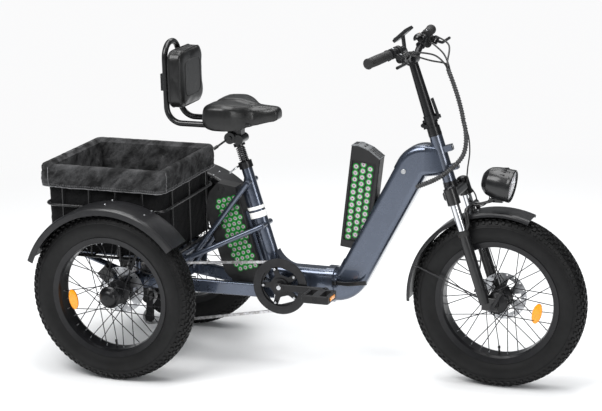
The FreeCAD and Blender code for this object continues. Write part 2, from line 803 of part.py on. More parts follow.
def calipers():
    block = caliper_block(1, 47.6, 52.4, (43, 66))
    seat = Placement(Vector(AXLE.x, 0, AXLE.z), Rotation(Vector(0, 1, 0), -56))
    shape = block.copy()
    shape.Placement = seat
    shape = shape.cut(box((-3.3, 40, -500), (60, 90, -300)))
    feature("front_caliper", shape.Solids[0], HEAD)
    blocks = []
    for side in (-1, 1):
        block = caliper_block(side, 250.4, 255.6, (237, 268))
        block.Placement = Placement(Vector(size("rear_axle_x"), 0, size("wheel_radius")),
                                    Rotation(Vector(0, 1, 0), -45))
        blocks.append(block.Solids[0])
    feature("rear_calipers", group(blocks))


def fender_shell(outer, half, lip, start, sweep):
    """Curved mudguard around an axle along Y; angles from +X towards +Z."""
    right = [(outer - lip, -half), (outer - 6, -half + 1), (outer - 1.5, -half + 5), (outer, -half + 13)]
    inner = [(outer - 2.2, -half + 13), (outer - 4, -half + 6.6), (outer - 7, -half + 3.4),
             (outer - lip, -half + 2.2)]
    left = [(radius, -y) for radius, y in right[::-1]]
    inner_left = [(radius, -y) for radius, y in inner[::-1]]
    profile = right + left + inner_left + inner
    points = [Vector(radius, y, 0) for radius, y in profile]
    face = Part.Face(Part.makePolygon(points + points[:1]))
    face.rotate(Vector(), Vector(0, -1, 0), start)
    return face.revolve(Vector(), Vector(0, -1, 0), sweep)


def fenders():
    front = fender_shell(309, 52.5, 13, 69, 114)
    stays = []
    for side in (-1, 1):
        tail = (300 * cos(radians(158)), side * 52, 300 * sin(radians(158)))
        foot = HEAD.multVec(Vector(-2.6, side * 66, -385 if side < 0 else -300))
        foot = foot - Vector(FRONT_AXLE_X, 0, size("wheel_radius"))
        stays.append(rod(tail, tuple(foot), 2.4))
    centre = Vector(FRONT_AXLE_X, 0, size("wheel_radius"))
    post_x = size("fork_leg_offset") + 30
    post = rod(tuple(HEAD.multVec(Vector(post_x, 0, AXLE.z + 308)) - centre),
               tuple(HEAD.multVec(Vector(post_x, 0, ARCH_Z - 7.7)) - centre), 7)
    shape = joined([front, post] + stays)
    feature("front_fender", shape, Placement(centre, Rotation()))
    shells = []
    outer = 315
    for side in (-1, 1):
        middle = side * size("rear_track") / 2
        shell = fender_shell(outer, 62, 24, 38, 121)
        shell.translate(Vector(0, middle, 0))
        y = side * 242
        top = outer - 10
        parts = [shell]
        for angle in (66, 93):
            foot = (26 * cos(radians(angle)), y, 26 * sin(radians(angle)))
            knee = (top * cos(radians(angle)), y, top * sin(radians(angle)))
            parts.append(rod(foot, knee, 4.4))
            parts.append(rod(knee, (knee[0], side * 262, knee[2]), 4.3))
        parts.append(ring((0, side * 237.2, 0), (0, side * 243, 0), 32, 12))
        shells.append(joined(parts))
    axle = Vector(size("rear_axle_x"), 0, size("wheel_radius"))
    feature("rear_fenders", group(shells), Placement(axle, Rotation()))


def headlight():
    """Round lamp ahead of the fork, on a wire bracket from the fork arch."""
    turn = Rotation(Vector(0, 1, 0), 10).multiply(Rotation(Vector(0, 0, 1), -90))
    aim = Placement(Vector(629, 0, 691), turn)
    bowl = turned_body("headlight_bowl", (
        (0, -54), (5, -54), (24, -50, 50), (46, -29, 160), (54, 22), (54, 46), (50, 46), (50, 30), (0, 30)))
    NODES.remove(bowl)
    bowl.Placement = aim
    lens = turned_body("headlight_lens", (
        (0, 30.2), (49.8, 30.2), (49.8, 43), (48, 45), (36, 48, 90), (18, 50), (0, 50)))
    lens.Placement = aim
    arch = HEAD.multVec(Vector(size("fork_leg_offset") + 40.3, 0, ARCH_Z))
    wires = [bent_rod([(arch.x, y, arch.z), (arch.x + 24, y, arch.z + 6), (620, y, 633.5)], 12, 3)
             for y in (-12, 12)]
    shoe = box((606, -17, 629), (648, 17, 641))
    plate = box((arch.x - 2, -20, arch.z - 7), (arch.x + 2, 20, arch.z + 7))
    bracket = doc.addObject("Part::Feature", "headlight_bracket")
    bracket.Shape = joined(wires + [shoe, plate])
    whole = doc.addObject("Part::Fuse", "headlight_housing")
    whole.Base = bowl
    whole.Tool = bracket
    keep(whole, "headlight_housing")


# ---------------------------------------------------------------------------
# Drive
# ---------------------------------------------------------------------------
def pitch_radius(teeth):
    return teeth * size("chain_pitch") / (2 * pi)


def motor():
    outline = (
        (11, -62), (38, -62), (44, -56), (76, -50), ("dim.motor_radius", -42), ("dim.motor_radius", 42),
        (76, 50), (44, 56), (38, 62), (11, 62), (11, 50), (40, 46), ("dim.motor_radius - 10", 36),
        ("dim.motor_radius - 10", -36), (40, -46), (11, -50),
    )
    shell = turned_body("motor_turning", outline)
    NODES.remove(shell)
    shell.Placement = Placement(Vector(size("rear_axle_x"), 0, size("wheel_radius")), Rotation())
    lug = doc.addObject("Part::Box", "motor_lug")
    lug.Length = 32
    lug.Width = 60
    lug.Height = 24
    lug.Placement = Placement(Vector(-552, -30, 276), Rotation())
    whole = doc.addObject("Part::Fuse", "drive_motor")
    whole.Base = shell
    whole.Tool = lug
    keep(whole, "drive_motor")


def cassette():
    """Seven sprockets on one carrier, small ones outboard."""
    teeth = (28, 26, 24, 22, 20, 18, 16)
    corners = [(12, -63), (24, -63)]
    for index, count in enumerate(teeth):
        face = -size("chain_plane") + 1 + 5 * (teeth.index(22) - index)
        radius = round(pitch_radius(count) - 4.1, 2)
        corners += [(24, face), (radius, face), (radius, face - 2), (24, face - 2)]
    corners += [(20, -100), (12, -100)]
    body = turned_body("cassette", corners)
    body.Placement = Placement(Vector(size("rear_axle_x"), 0, size("wheel_radius")), Rotation())


def tangent(first, second):
    """Straight run between two wheels; each is (x, z, radius, turn), turn +1 anticlockwise."""
    dx = second[0] - first[0]
    dz = second[1] - first[1]
    span = sqrt(dx * dx + dz * dz)
    heading = atan2(dz, dx) - asin((second[3] * second[2] - first[3] * first[2]) / span)
    normal = (-sin(heading), cos(heading))
    ends = []
    for x, z, radius, turn in (first, second):
        ends.append(Vector(x - turn * radius * normal[0], 0, z - turn * radius * normal[1]))
    return ends


def arc_between(wheel, start, end):
    x, z, radius, turn = wheel
    low = atan2(start.z - z, start.x - x)
    high = atan2(end.z - z, end.x - x)
    if turn > 0 and high < low:
        high += 2 * pi
    if turn < 0 and high > low:
        high -= 2 * pi
    middle = (low + high) / 2
    return Part.Arc(start, Vector(x + radius * cos(middle), 0, z + radius * sin(middle)), end).toShape()


GUIDE = (-600, 222)
TENSION = (-606, 142)
PULLEY_RADIUS = 22


def chain():
    wheels = [
        (size("crank_x"), size("crank_z"), pitch_radius(size("chainring_teeth")), 1),
        (size("rear_axle_x"), size("wheel_radius"), pitch_radius(size("cog_teeth")), 1),
        GUIDE + (PULLEY_RADIUS, -1),
        TENSION + (PULLEY_RADIUS, 1),
    ]
    runs = [tangent(wheels[index], wheels[(index + 1) % 4]) for index in range(4)]
    edges = []
    for index in range(4):
        following = (index + 1) % 4
        edges.append(Part.LineSegment(runs[index][0], runs[index][1]).toShape())
        edges.append(arc_between(wheels[following], runs[index][1], runs[following][0]))
    loop = Part.Wire(Part.__sortEdges__(edges))
    start = runs[0][0]
    direction = runs[0][1] - runs[0][0]
    profile = section(tuple(start), tuple(direction), 7, 7.6, 0)
    band = loop.makePipeShell([profile], True, False)
    band.translate(Vector(0, -size("chain_plane"), 0))
    feature("chain", band.Solids[0])


def derailleur():
    plane = -size("chain_plane")
    parts = []
    for y in (plane - 7.5, plane + 5.5):
        parts.append(beam((GUIDE[0] + 2, y + 1, GUIDE[1] + 14),
                          (TENSION[0], y + 1, TENSION[1] - 14), 2, 24, 0))
    for x, z in (GUIDE, TENSION):
        parts.append(rod((x, plane - 7.5, z), (x, plane + 7.5, z), 5))
        parts.append(rod((x, plane - 2.5, z), (x, plane + 2.5, z), PULLEY_RADIUS - 4.2))
    parts.append(box((GUIDE[0] - 10, -118, GUIDE[1] - 8), (GUIDE[0] + 14, plane - 6, GUIDE[1] + 16)))
    parts.append(box((GUIDE[0] - 8, -124, GUIDE[1] - 6), (GUIDE[0] + 10, -110, 264)))
    shape = joined(parts)
    feature("derailleur", shape)


def crankset():
    """Chainring with its guard, crank arms on a common spindle, and pedals that spin on them."""
    ring_radius = round(pitch_radius(size("chainring_teeth")) - 4.2, 3)
    x = size("crank_x")
    z = size("crank_z")
    turned = turned_body("chainring", (
        (10.1, -76), (28, -76), (34, -78.4), (ring_radius, -78.4), (ring_radius, -81.6), (74, -81.6),
        (74, -85), (98, -85), (98, -89), (70, -89), (70, -83), (28, -83), (28, -89), (10.1, -89),
    ))
    doc.recompute()
    sketch = sketch_in(turned, "XZ_Plane", "chainring_window")
    draw_outline(sketch, ((37, -15), (59, -33), (62, -20), (62, 20), (59, 33), (37, 15)))
    pocket = turned.newObject("PartDesign::Pocket", "chainring_cut")
    pocket.Profile = sketch
    pocket.Midplane = True
    pocket.Type = "ThroughAll"
    pattern = turned.newObject("PartDesign::PolarPattern", "chainring_arms")
    pattern.Originals = [pocket]
    pattern.Axis = (sketch, ["N_Axis"])
    pattern.Angle = 360
    pattern.Occurrences = 5
    turned.Tip = pattern
    turned.Placement = Placement(Vector(x, 0, z), Rotation())
    spindle = rod((0, -90, 0), (0, 90, 0), 10)
    solids = [spindle]
    reach = size("crank_length")
    for side in (-1, 1):
        tip = -side * reach
        y = side * 97
        arm = [rod((0, side * 89.5, 0), (0, side * 104, 0), 17),
               rod((tip, side * 91, 0), (tip, side * 104, 0), 13),
               beam((0, y, 0), (tip, y, 0), 11, 24, 3),
               rod((tip, side * 98, 0), (tip, side * 204, 0), 6)]
        solids.append(joined(arm))
    arms = solids[1:]
    whole = joined([spindle] + arms)
    feature("crank_arms", whole, Placement(Vector(x, 0, z), Rotation()))
    for name, side in SIDES:
        tip = -side * reach
        y_low = min(side * 112, side * 202)
        plate = box((-47, y_low, -12), (47, y_low + 90, 12))
        for window in (-1, 1):
            low = 13 if window > 0 else -36
            plate = plate.cut(box((low, y_low + 13, -20), (low + 23, y_low + 77, 20)))
        plate = plate.cut(rod((0, side * 100, 0), (0, side * 210, 0), 6.05))
        plate = plate.makeChamfer(4, [edge for edge in plate.Edges if edge.BoundBox.YLength < 0.1
                                      and edge.BoundBox.XLength < 0.1 and abs(edge.BoundBox.XMin) > 46])
        feature(name + "_pedal", plate, Placement(Vector(x + tip, 0, z), Rotation()))


# ---------------------------------------------------------------------------
# Stem and handlebar, in the steerer's own frame
# ---------------------------------------------------------------------------
FOLD_Z = 200
FOLD_X = -27
BAR_KNEE = (0, 42, 0)
BAR_RISE = (21, 110, 46)


def bar_points(side):
    height = size("bar_height")
    return [(0, 0, height), (0, side * BAR_KNEE[1], height),
            (BAR_RISE[0], side * BAR_RISE[1], height + BAR_RISE[2]),
            (-23, side * size("bar_half_width"), height + 49)]


def on_bar(side, y):
    """Point on the outer straight of the bar at a distance from the middle."""
    rise, end = bar_points(side)[2:]
    share = (y - abs(rise[1])) / (abs(end[1]) - abs(rise[1]))
    return tuple(rise[index] + (end[index] - rise[index]) * share for index in range(3))


def stem():
    lower = [ring((0, 0, 165.8), (0, 0, FOLD_Z - 0.2), 19, size("steerer_radius") + 0.05),
             ring((0, 0, 165.8), (0, 0, 187), 22, size("steerer_radius") + 0.05),
             rod((0, 0, 193), (0, 0, FOLD_Z - 0.2), 19)]
    for side in (-1, 1):
        low = 8 if side > 0 else -16
        lower.append(rod((FOLD_X, low, FOLD_Z), (FOLD_X, low + 8, FOLD_Z), 7))
        lower.append(box((FOLD_X, low, FOLD_Z - 14), (-8, low + 8, FOLD_Z - 0.2)))
    lower.append(rod((FOLD_X, -18, FOLD_Z), (FOLD_X, 18, FOLD_Z), 3.5))
    shape = joined(lower).cut(rod((0, 0, 160), (0, 0, 192.9), size("steerer_radius") + 0.05))
    feature("stem_lower", shape.Solids[0], HEAD)
    post = [rod((0, 0, FOLD_Z), (0, 0, FOLD_Z + 26), 22),
            cone((0, 0, FOLD_Z + 20), (0, 0, size("bar_height")), 19, 15),
            rod((0, -22, size("bar_height")), (0, 22, size("bar_height")), 21),
            rod((FOLD_X, -7.8, FOLD_Z), (FOLD_X, 7.8, FOLD_Z), 7),
            box((FOLD_X, -7.8, FOLD_Z), (-10, 7.8, FOLD_Z + 14))]
    for low in (-13.5, 9.5):
        post.append(box((8, low, FOLD_Z + 8), (33, low + 4, FOLD_Z + 20)))
    shape = joined(post)
    cuts = [rod((0, -30, size("bar_height")), (0, 30, size("bar_height")), 15.95),
            rod((FOLD_X, -9, FOLD_Z), (FOLD_X, 9, FOLD_Z), 3.55),
            rod((28, -20, FOLD_Z + 14), (28, 20, FOLD_Z + 14), 2.55)]
    for low in (-19, 7.9):
        cuts.append(rod((FOLD_X, low, FOLD_Z), (FOLD_X, low + 11.1, FOLD_Z), 7.6))
    for tool in cuts:
        shape = shape.cut(tool)
    feature("stem_post", shape.Solids[0], HEAD)
    pivot_z = FOLD_Z + 14
    latch = joined([rod((28, -9.3, pivot_z), (28, 9.3, pivot_z), 5),
                    rod((28, -15, pivot_z), (28, 15, pivot_z), 2.5),
                    beam((28.5, 0, pivot_z), (25.5, 0, pivot_z + 64), 18, 6, 2)])
    feature("stem_latch", latch, HEAD)


LEVER_REACH = Vector(0.72, 0, -0.69).normalize()
LEVER_AXIS = Vector(0.69, 0, 0.72).normalize()


def brake_lever(pivot, side):
    """Two-finger lever that swings on a pin through its perch."""
    parts = [rod(tuple(pivot - LEVER_AXIS * 11), tuple(pivot + LEVER_AXIS * 11), 3)]
    for offset in (-9.5, 9.5):
        foot = pivot + LEVER_AXIS * offset
        parts.append(beam(tuple(foot - LEVER_REACH * 6), tuple(foot + LEVER_REACH * 18), 12, 3, 0))
    parts.append(beam(tuple(pivot + LEVER_REACH * 10), tuple(pivot + LEVER_REACH * 19), 12, 21, 0))
    root = pivot + LEVER_REACH * 14
    knee = pivot + LEVER_REACH * 31 + Vector(0, side * 14, 0)
    tip = pivot + LEVER_REACH * 29 + Vector(0, side * 104, 0)
    parts.append(bent_rod([tuple(root), tuple(knee), tuple(tip)], 10, 5))
    return joined(parts)


def handlebar():
    height = size("bar_height")
    radius = size("bar_radius")
    left = bar_points(1)
    right = bar_points(-1)
    path = right[:0:-1] + left[1:]
    bar = bent_tube(path, 26, radius, 2.4)
    sleeve = ring((0, -25, height), (0, 25, height), 15.9, radius - 1)
    feature("handlebar", joined([bar, sleeve]), HEAD)
    grips = []
    clamps = []
    for side in (-1, 1):
        grips.append(ring(on_bar(side, 213), on_bar(side, 333), 16, radius + 0.05))
        perch = ring(on_bar(side, 176), on_bar(side, 192), 16, radius + 0.05)
        at = Vector(*on_bar(side, 184))
        arm = beam(tuple(at + LEVER_REACH * 13), tuple(at + LEVER_REACH * 34), 14, 15, 3)
        arm = arm.cut(rod(tuple(at + LEVER_REACH * 27 - LEVER_AXIS * 20),
                          tuple(at + LEVER_REACH * 27 + LEVER_AXIS * 20), 3.05))
        pod = ring(on_bar(side, 140), on_bar(side, 158), 17, radius + 0.05)
        pod_body = rod(tuple(Vector(*on_bar(side, 142)) + Vector(2, 0, -26)),
                       tuple(Vector(*on_bar(side, 156)) + Vector(2, 0, -26)), 13)
        pod_body = pod_body.cut(rod(on_bar(side, 120), on_bar(side, 180), radius + 0.05))
        clamps.append(joined([perch, arm]))
        clamps.append(joined([pod, pod_body]))
        name = "right" if side < 0 else "left"
        feature(name + "_brake_lever", brake_lever(at + LEVER_REACH * 27, side), HEAD)
    feature("grips", group(grips), HEAD)
    feature("control_clamps", group(clamps), HEAD)
    for name, side in (("shift_lever", -1), ("throttle_lever", 1)):
        collar = ring(on_bar(side, 163), on_bar(side, 171), 15.5, radius + 0.06)
        at = Vector(*on_bar(side, 167))
        paddle = beam(tuple(at + Vector(-16, 0, -5)), tuple(at + Vector(-29, side * 2, -20)), 8, 6, 2)
        feature(name, joined([collar, paddle]), HEAD)
    share = 0.32
    low = bar_points(-1)[1]
    high = bar_points(-1)[2]
    at = [low[index] + (high[index] - low[index]) * share for index in range(3)]
    ahead = [low[index] + (high[index] - low[index]) * (share + 0.14) for index in range(3)]
    holder = ring(tuple(at), tuple(ahead), 15, radius + 0.06)
    plate = beam((-11, at[1], height + 76), (46, at[1], height + 101), 62, 11, 4)
    middle = [(at[index] + ahead[index]) / 2 for index in range(3)]
    arm = beam((middle[0] - 3, middle[1] + 9, middle[2] + 15), (17, at[1], height + 88), 12, 9, 2)
    feature("display", joined([holder, plate, arm]), HEAD)


# ---------------------------------------------------------------------------
# Seat, in the seat tube's own frame and then upright
# ---------------------------------------------------------------------------
def seat_column():
    post_radius = size("seat_post_radius")
    clamp = turned_body("seat_clamp", (
        ("dim.seat_tube_radius + 0.1", -6), ("dim.seat_tube_radius + 5", -6),
        ("dim.seat_tube_radius + 5", 17),
        (16.2, 17), (16.2, 12.2), ("dim.seat_tube_radius + 0.1", 12.2),
    ), "Z")
    clamp.Placement = SEAT
    post = ring((0, 0, -230), (0, 0, 19), post_radius, 10.55)
    post = post.fuse(rod((0, 0, -230), (0, 0, -222), post_radius))
    feature("seat_post", post.removeSplitter().Solids[0], SEAT)
    turns = 8
    rise = 6.6
    coils = [Part.makeTorus(13.6, 2, Vector(0, 0, 21.2 + rise * turn)) for turn in range(turns)]
    spine = rod((13.6, 0, 21.2), (13.6, 0, 21.2 + rise * (turns - 1)), 1.5)
    feature("seat_spring", joined(coils + [spine]), SEAT)


def saddle_frame():
    """Sprung head, saddle plate and the backrest's tube loop."""
    rail_y = 57
    head = rod((0, 0, -60), (0, 0, 90), 10.5)
    collar = rod((0, 0, 73), (0, 0, 84), 20)
    for item in (head, collar):
        item.Placement = SEAT
    clamp = rod((-302, -30, 791), (-302, 30, 791), 20)
    cheek = rod((-270, -28, 787), (-270, 28, 787), 16)
    web = box((-302, -24, 774), (-266, 24, 803))
    riser = box((-314, -17, 800), (-264, 17, 851))
    plate = box((-346, -72, 848), (-212, 72, 852.5))
    loop = bent_rod([(-240, -rail_y, 840), (-518, -rail_y, 840), (-520, -rail_y, 1111),
                     (-520, rail_y, 1111), (-518, rail_y, 840), (-240, rail_y, 840)], 54, 10)
    pad_plate = box((-537, -60, 950), (-522, 60, 1008))
    stud = box((-524, -26, 962), (-497, 26, 996))
    cross = rod((-300, -rail_y, 840), (-300, rail_y, 840), 9)
    bolt = rod((-302, -35, 791), (-302, 35, 791), 8)
    lever = rod((-312, -26, 786), (-349, -48, 758), 3.6)
    grip = rod((-340, -42.6, 764.8), (-353, -50.4, 755), 5.4)
    shape = joined([head, collar, clamp, cheek, web, riser, plate, loop,
                    pad_plate, stud, cross, bolt, lever, grip])
    feature("saddle_frame", shape)


def cushions():
    """Plain closed solids that hold the room of the padded parts."""
    half_plan = [(-379, 60), (-374, 97), (-360, 112), (-335, 118), (-282, 118), (-240, 90), (-205, 50),
                 (-170, 35), (-134, 29), (-126, 14)]
    corners = [Vector(x, -y, 800) for x, y in half_plan] + [Vector(x, y, 800) for x, y in half_plan[::-1]]
    column = Part.Face(Part.makePolygon(corners + corners[:1])).extrude(Vector(0, 0, 160))
    side = flat_prism([(-379, 858), (-379, 906), (-364, 924), (-270, 926), (-226, 908), (-134, 902),
                       (-126, 893), (-126, 866), (-200, 843), (-250, 830), (-335, 830)], 130)
    cushion = column.common(side)
    well = box((-390, -86, 820), (-196, 86, 853.5))
    feature("saddle_cushion", cushion.cut(well).Solids[0])
    pad = box((-496, -101, 892), (-444, 101, 1096))
    pad = pad.makeFillet(16, [edge for edge in pad.Edges if edge.BoundBox.XMax > -445])
    feature("backrest_cushion", pad)


# ---------------------------------------------------------------------------
# Basket
# ---------------------------------------------------------------------------
def basket_loop(inset, z, radius, bend=38):
    """A closed level hoop of round bar, inset from the basket's outside."""
    half_x = size("basket_length") / 2 - inset
    half_y = size("basket_width") / 2 - inset
    centre = size("basket_x")
    start = (centre, -half_y, z)
    points = [start, (centre + half_x, -half_y, z), (centre + half_x, half_y, z),
              (centre - half_x, half_y, z),
              (centre - half_x, -half_y, z), start]
    return bent_rod(points, bend, radius)


def basket():
    centre = size("basket_x")
    half_x = size("basket_length") / 2
    half_y = size("basket_width") / 2
    floor = size("basket_floor_z")
    rim_z = size("basket_rim_z")
    inset = 9
    hoops = [basket_loop(inset, rim_z - 14, 6), basket_loop(inset, 566, 5), basket_loop(inset, floor, 5.2)]
    posts = []
    for x in (-150, -50, 50, 150):
        for side in (-1, 1):
            y = side * (half_y - inset)
            posts.append(rod((centre + x, y, floor), (centre + x, y, rim_z - 14), 3.4))
        posts.append(rod((centre + x, -half_y + inset, floor), (centre + x, half_y - inset, floor), 3.4))
    for y in (-140, 0, 140):
        for side in (-1, 1):
            x = centre + side * (half_x - inset)
            posts.append(rod((x, y, floor), (x, y, rim_z - 14), 3.4))
    feature("basket_frame", joined(hoops + posts))
    wall = 3
    skin = 17
    low = floor + 7
    outer = box((centre - half_x + skin, -half_y + skin, low), (centre + half_x - skin, half_y - skin, rim_z))
    inner = box((centre - half_x + skin + wall, -half_y + skin + wall, low + wall),
                (centre + half_x - skin - wall, half_y - skin - wall, rim_z + 20))
    outer = outer.makeFillet(26, [edge for edge in outer.Edges if edge.BoundBox.ZLength > 200])
    inner = inner.makeFillet(23, [edge for edge in inner.Edges if edge.BoundBox.ZLength > 200])
    cuff_out = box((centre - half_x, -half_y, 628), (centre + half_x, half_y, rim_z))
    cuff_in = box((centre - half_x + 2, -half_y + 2, 620), (centre + half_x - 2, half_y - 2, rim_z - wall))
    cuff_out = cuff_out.makeFillet(40, [edge for edge in cuff_out.Edges if edge.BoundBox.ZLength > 50])
    cuff_in = cuff_in.makeFillet(38, [edge for edge in cuff_in.Edges if edge.BoundBox.ZLength > 50])
    liner = outer.fuse(cuff_out.cut(cuff_in)).cut(inner)
    feature("basket_liner", liner.removeSplitter().Solids[0])


# ---------------------------------------------------------------------------
# Build
# ---------------------------------------------------------------------------
def build():
    front_wheel()
    for name, side in SIDES:
        rear_wheel(name, side)
    rear_frame()
    frame_bearings()
    front_frame()
    frame_hinge()
    front_pack()
    rear_pack()
    fork()
    calipers()
    fenders()
    headlight()
    motor()
    cassette()
    chain()
    derailleur()
    crankset()
    stem()
    handlebar()
    seat_column()
    saddle_frame()
    cushions()
    basket()


def check_and_write():
    doc.recompute()
    for item in doc.Objects:
        if "Invalid" in item.State or "Error" in item.State:
            raise SystemExit("%s did not rebuild: %s" % (item.Label, item.State))
    labels = [item.Label for item in NODES]
    if len(set(labels)) != len(labels) or len(labels) > 60:
        raise SystemExit("%d sub-parts, names must differ and stay at 60 or fewer" % len(labels))
    for item in NODES:
        if item.Shape.isNull() or not item.Shape.isValid():
            raise SystemExit("%s has no valid shape" % item.Label)
    os.makedirs("parts", exist_ok=True)
    for item in NODES:
        item.Shape.exportStep(os.path.join("parts", item.Label + ".step"))
    print("%d sub-parts written" % len(NODES))


build()
check_and_write()
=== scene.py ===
import json
import math
import bmesh
import bpy
import numpy as np
from mathutils import Matrix, Vector, noise
from mathutils.bvhtree import BVHTree


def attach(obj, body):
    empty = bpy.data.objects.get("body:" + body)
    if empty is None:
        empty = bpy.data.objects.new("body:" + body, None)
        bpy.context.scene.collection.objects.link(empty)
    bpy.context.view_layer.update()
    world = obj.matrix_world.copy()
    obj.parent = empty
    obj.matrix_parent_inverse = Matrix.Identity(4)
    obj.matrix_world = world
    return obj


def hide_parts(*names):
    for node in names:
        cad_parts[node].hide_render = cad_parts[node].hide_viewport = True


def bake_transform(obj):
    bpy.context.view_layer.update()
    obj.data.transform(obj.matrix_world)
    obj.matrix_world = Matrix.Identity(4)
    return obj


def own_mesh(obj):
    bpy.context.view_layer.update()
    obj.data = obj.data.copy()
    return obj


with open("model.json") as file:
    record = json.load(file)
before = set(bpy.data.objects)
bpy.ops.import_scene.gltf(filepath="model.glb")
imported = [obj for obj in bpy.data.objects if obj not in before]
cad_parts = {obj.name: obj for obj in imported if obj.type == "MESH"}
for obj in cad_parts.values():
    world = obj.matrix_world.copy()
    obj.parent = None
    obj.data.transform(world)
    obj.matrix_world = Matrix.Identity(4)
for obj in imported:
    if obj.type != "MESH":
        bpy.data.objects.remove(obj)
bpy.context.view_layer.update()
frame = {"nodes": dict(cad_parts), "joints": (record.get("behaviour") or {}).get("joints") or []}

# The visual model of the tricycle.  Every length below is in millimetres in the CAD's own
# frame (+X forward, +Y to the rider's left, +Z up) and becomes metres when a piece is made.
MM = 0.001
JOINTS = {joint["name"]: joint for joint in frame["joints"]}
SIDES = (("right", -1), ("left", 1))
CORNERS = ((-1, -1), (1, -1), (1, 1), (-1, 1))
SHARP_EDGE = math.radians(35)
WELD_GAP = 1e-4


def joint_place(name):
    return Vector(JOINTS[name]["pos_m"]) / MM


def joint_axis(name):
    return Vector(JOINTS[name]["axis"])


def leaning(origin, up):
    """Matrix of a frame in the middle plane whose Z runs along up."""
    up = up.normalized()
    side = Vector((0, 1, 0))
    ahead = side.cross(up)
    turn = Matrix((ahead, side, up)).transposed()
    return Matrix.Translation(origin) @ turn.to_4x4()


HEAD = leaning(joint_place("steering"), -joint_axis("steering"))
SEAT = leaning(Vector((-256, 0, 691)), joint_axis("seat_height"))
PACK = leaning(joint_place("battery_tilt"), joint_axis("battery_lift"))
FRONT_AXLE = joint_place("front_wheel_spin")
REAR_AXLE_X = joint_place("right_wheel_spin").x
AXLE_Z = FRONT_AXLE.z
TRACK_HALF = joint_place("left_wheel_spin").y
CRANK = joint_place("crank_spin")


# ---------------------------------------------------------------------------
# Mesh building
# ---------------------------------------------------------------------------
class Soup:
    """Vertices and faces of one piece, gathered from small parts."""

    def __init__(self):
        self.points = []
        self.faces = []
        self.slots = []
        self.count = 0

    def add(self, part, place=Matrix(), slot=0):
        """Add a part, given as (points, faces), where a matrix puts it."""
        points, faces = part
        turn = np.array(place.to_3x3())
        self.points.append(np.asarray(points, float) @ turn.T + np.array(place.translation))
        self.faces += [tuple(index + self.count for index in face) for face in faces]
        self.slots += [slot] * len(faces)
        self.count += len(points)
        return self

    def bar(self, start, end, width, depth, cut, place=Matrix()):
        """Add a chamfered bar that runs from start to end."""
        start = Vector(start)
        end = Vector(end)
        self.add(block(width, (end - start).length, depth, cut), place @ aim((start + end) / 2, end - start))

    def piece(self, name, looks, body=None, slot=None):
        """Make the object.  Looks names one finish, or a list that the parts' slots count in."""
        mesh = bpy.data.meshes.new(name)
        points = np.concatenate(self.points) * MM
        mesh.from_pydata([tuple(point) for point in points], [], self.faces)
        for look in [looks] if isinstance(looks, str) else looks:
            mesh.materials.append(LOOKS[look])
        mesh.polygons.foreach_set("material_index", self.slots)
        mesh.polygons.foreach_set("use_smooth", [True] * len(self.faces))
        mesh.update()
        item = bpy.data.objects.new(name, mesh)
        bpy.context.scene.collection.objects.link(item)
        fix_normals(mesh)
        mesh.set_sharp_from_angle(angle=SHARP_EDGE)
        if body:
            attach(item, body)
        return item


def fix_normals(mesh):
    """Turn every face outward."""
    bm = bmesh.new()
    bm.from_mesh(mesh)
    bmesh.ops.recalc_face_normals(bm, faces=bm.faces)
    bm.to_mesh(mesh)
    bm.free()


def quads(size, rings, wrap=False, around=True):
    """Faces between rings of size points.  Wrap joins the last ring to the first one."""
    faces = []
    for ring in range(rings if wrap else rings - 1):
        low = ring * size
        high = (ring + 1) % rings * size
        for index in range(size if around else size - 1):
            following = (index + 1) % size
            faces.append((low + index, low + following, high + following, high + index))
    return faces


def ends(size, rings):
    """The two faces that close a stack of rings."""
    return [tuple(range(size))[::-1], tuple(range((rings - 1) * size, rings * size))]


def polar(angle, radius=1.0, y=0.0):
    """A point round the Y axis, at an angle from +X towards +Z."""
    return Vector((radius * math.cos(angle), y, radius * math.sin(angle)))


def lathe(profile, segments=48, closed=True):
    """Turn (radius, y) points about the Y axis.  A closed profile makes a ring or a solid."""
    profile = np.asarray(profile, float)
    points = []
    for angle in np.radians(360 * np.arange(segments) / segments):
        points.append(np.stack([profile[:, 0] * math.cos(angle), profile[:, 1],
                                profile[:, 0] * math.sin(angle)], 1))
    return merged(np.concatenate(points), quads(len(profile), segments, wrap=True, around=closed))


def merged(points, faces):
    """Weld points that coincide and drop the faces that collapse."""
    keys = {}
    index = []
    kept = []
    for point in points:
        key = tuple(np.round(point / WELD_GAP).astype(np.int64))
        if key not in keys:
            keys[key] = len(kept)
            kept.append(point)
        index.append(keys[key])
    out = []
    for face in faces:
        ring = []
        for corner in face:
            if not ring or ring[-1] != index[corner]:
                ring.append(index[corner])
        if len(ring) > 1 and ring[0] == ring[-1]:
            ring.pop()
        if len(ring) > 2:
            out.append(tuple(ring))
    return np.array(kept), out


def drum(radius, length, chamfer=0.6, segments=32):
    """A short round bar along Y with broken edges."""
    half = length / 2
    cut = min(chamfer, half * 0.9, radius * 0.9)
    return lathe([(0, -half), (radius - cut, -half), (radius, -half + cut), (radius, half - cut),
                  (radius - cut, half), (0, half)], segments, closed=False)


def torus(radius, thickness, segments=48, sides=10):
    angles = np.radians(360 * np.arange(sides) / sides)
    return lathe([(radius + thickness * math.cos(a), thickness * math.sin(a)) for a in angles], segments)


def block(width, depth, height, cut=1.0):
    """A box with chamfered edges, centred on the origin."""
    bm = bmesh.new()
    bmesh.ops.create_cube(bm, size=1)
    bmesh.ops.scale(bm, vec=(width, depth, height), verts=bm.verts)
    bmesh.ops.bevel(bm, geom=list(bm.edges), offset=cut, segments=2, affect="EDGES", profile=0.6)
    bm.verts.ensure_lookup_table()
    points = np.array([tuple(vert.co) for vert in bm.verts])
    faces = [tuple(vert.index for vert in face.verts) for face in bm.faces]
    bm.free()
    return points, faces


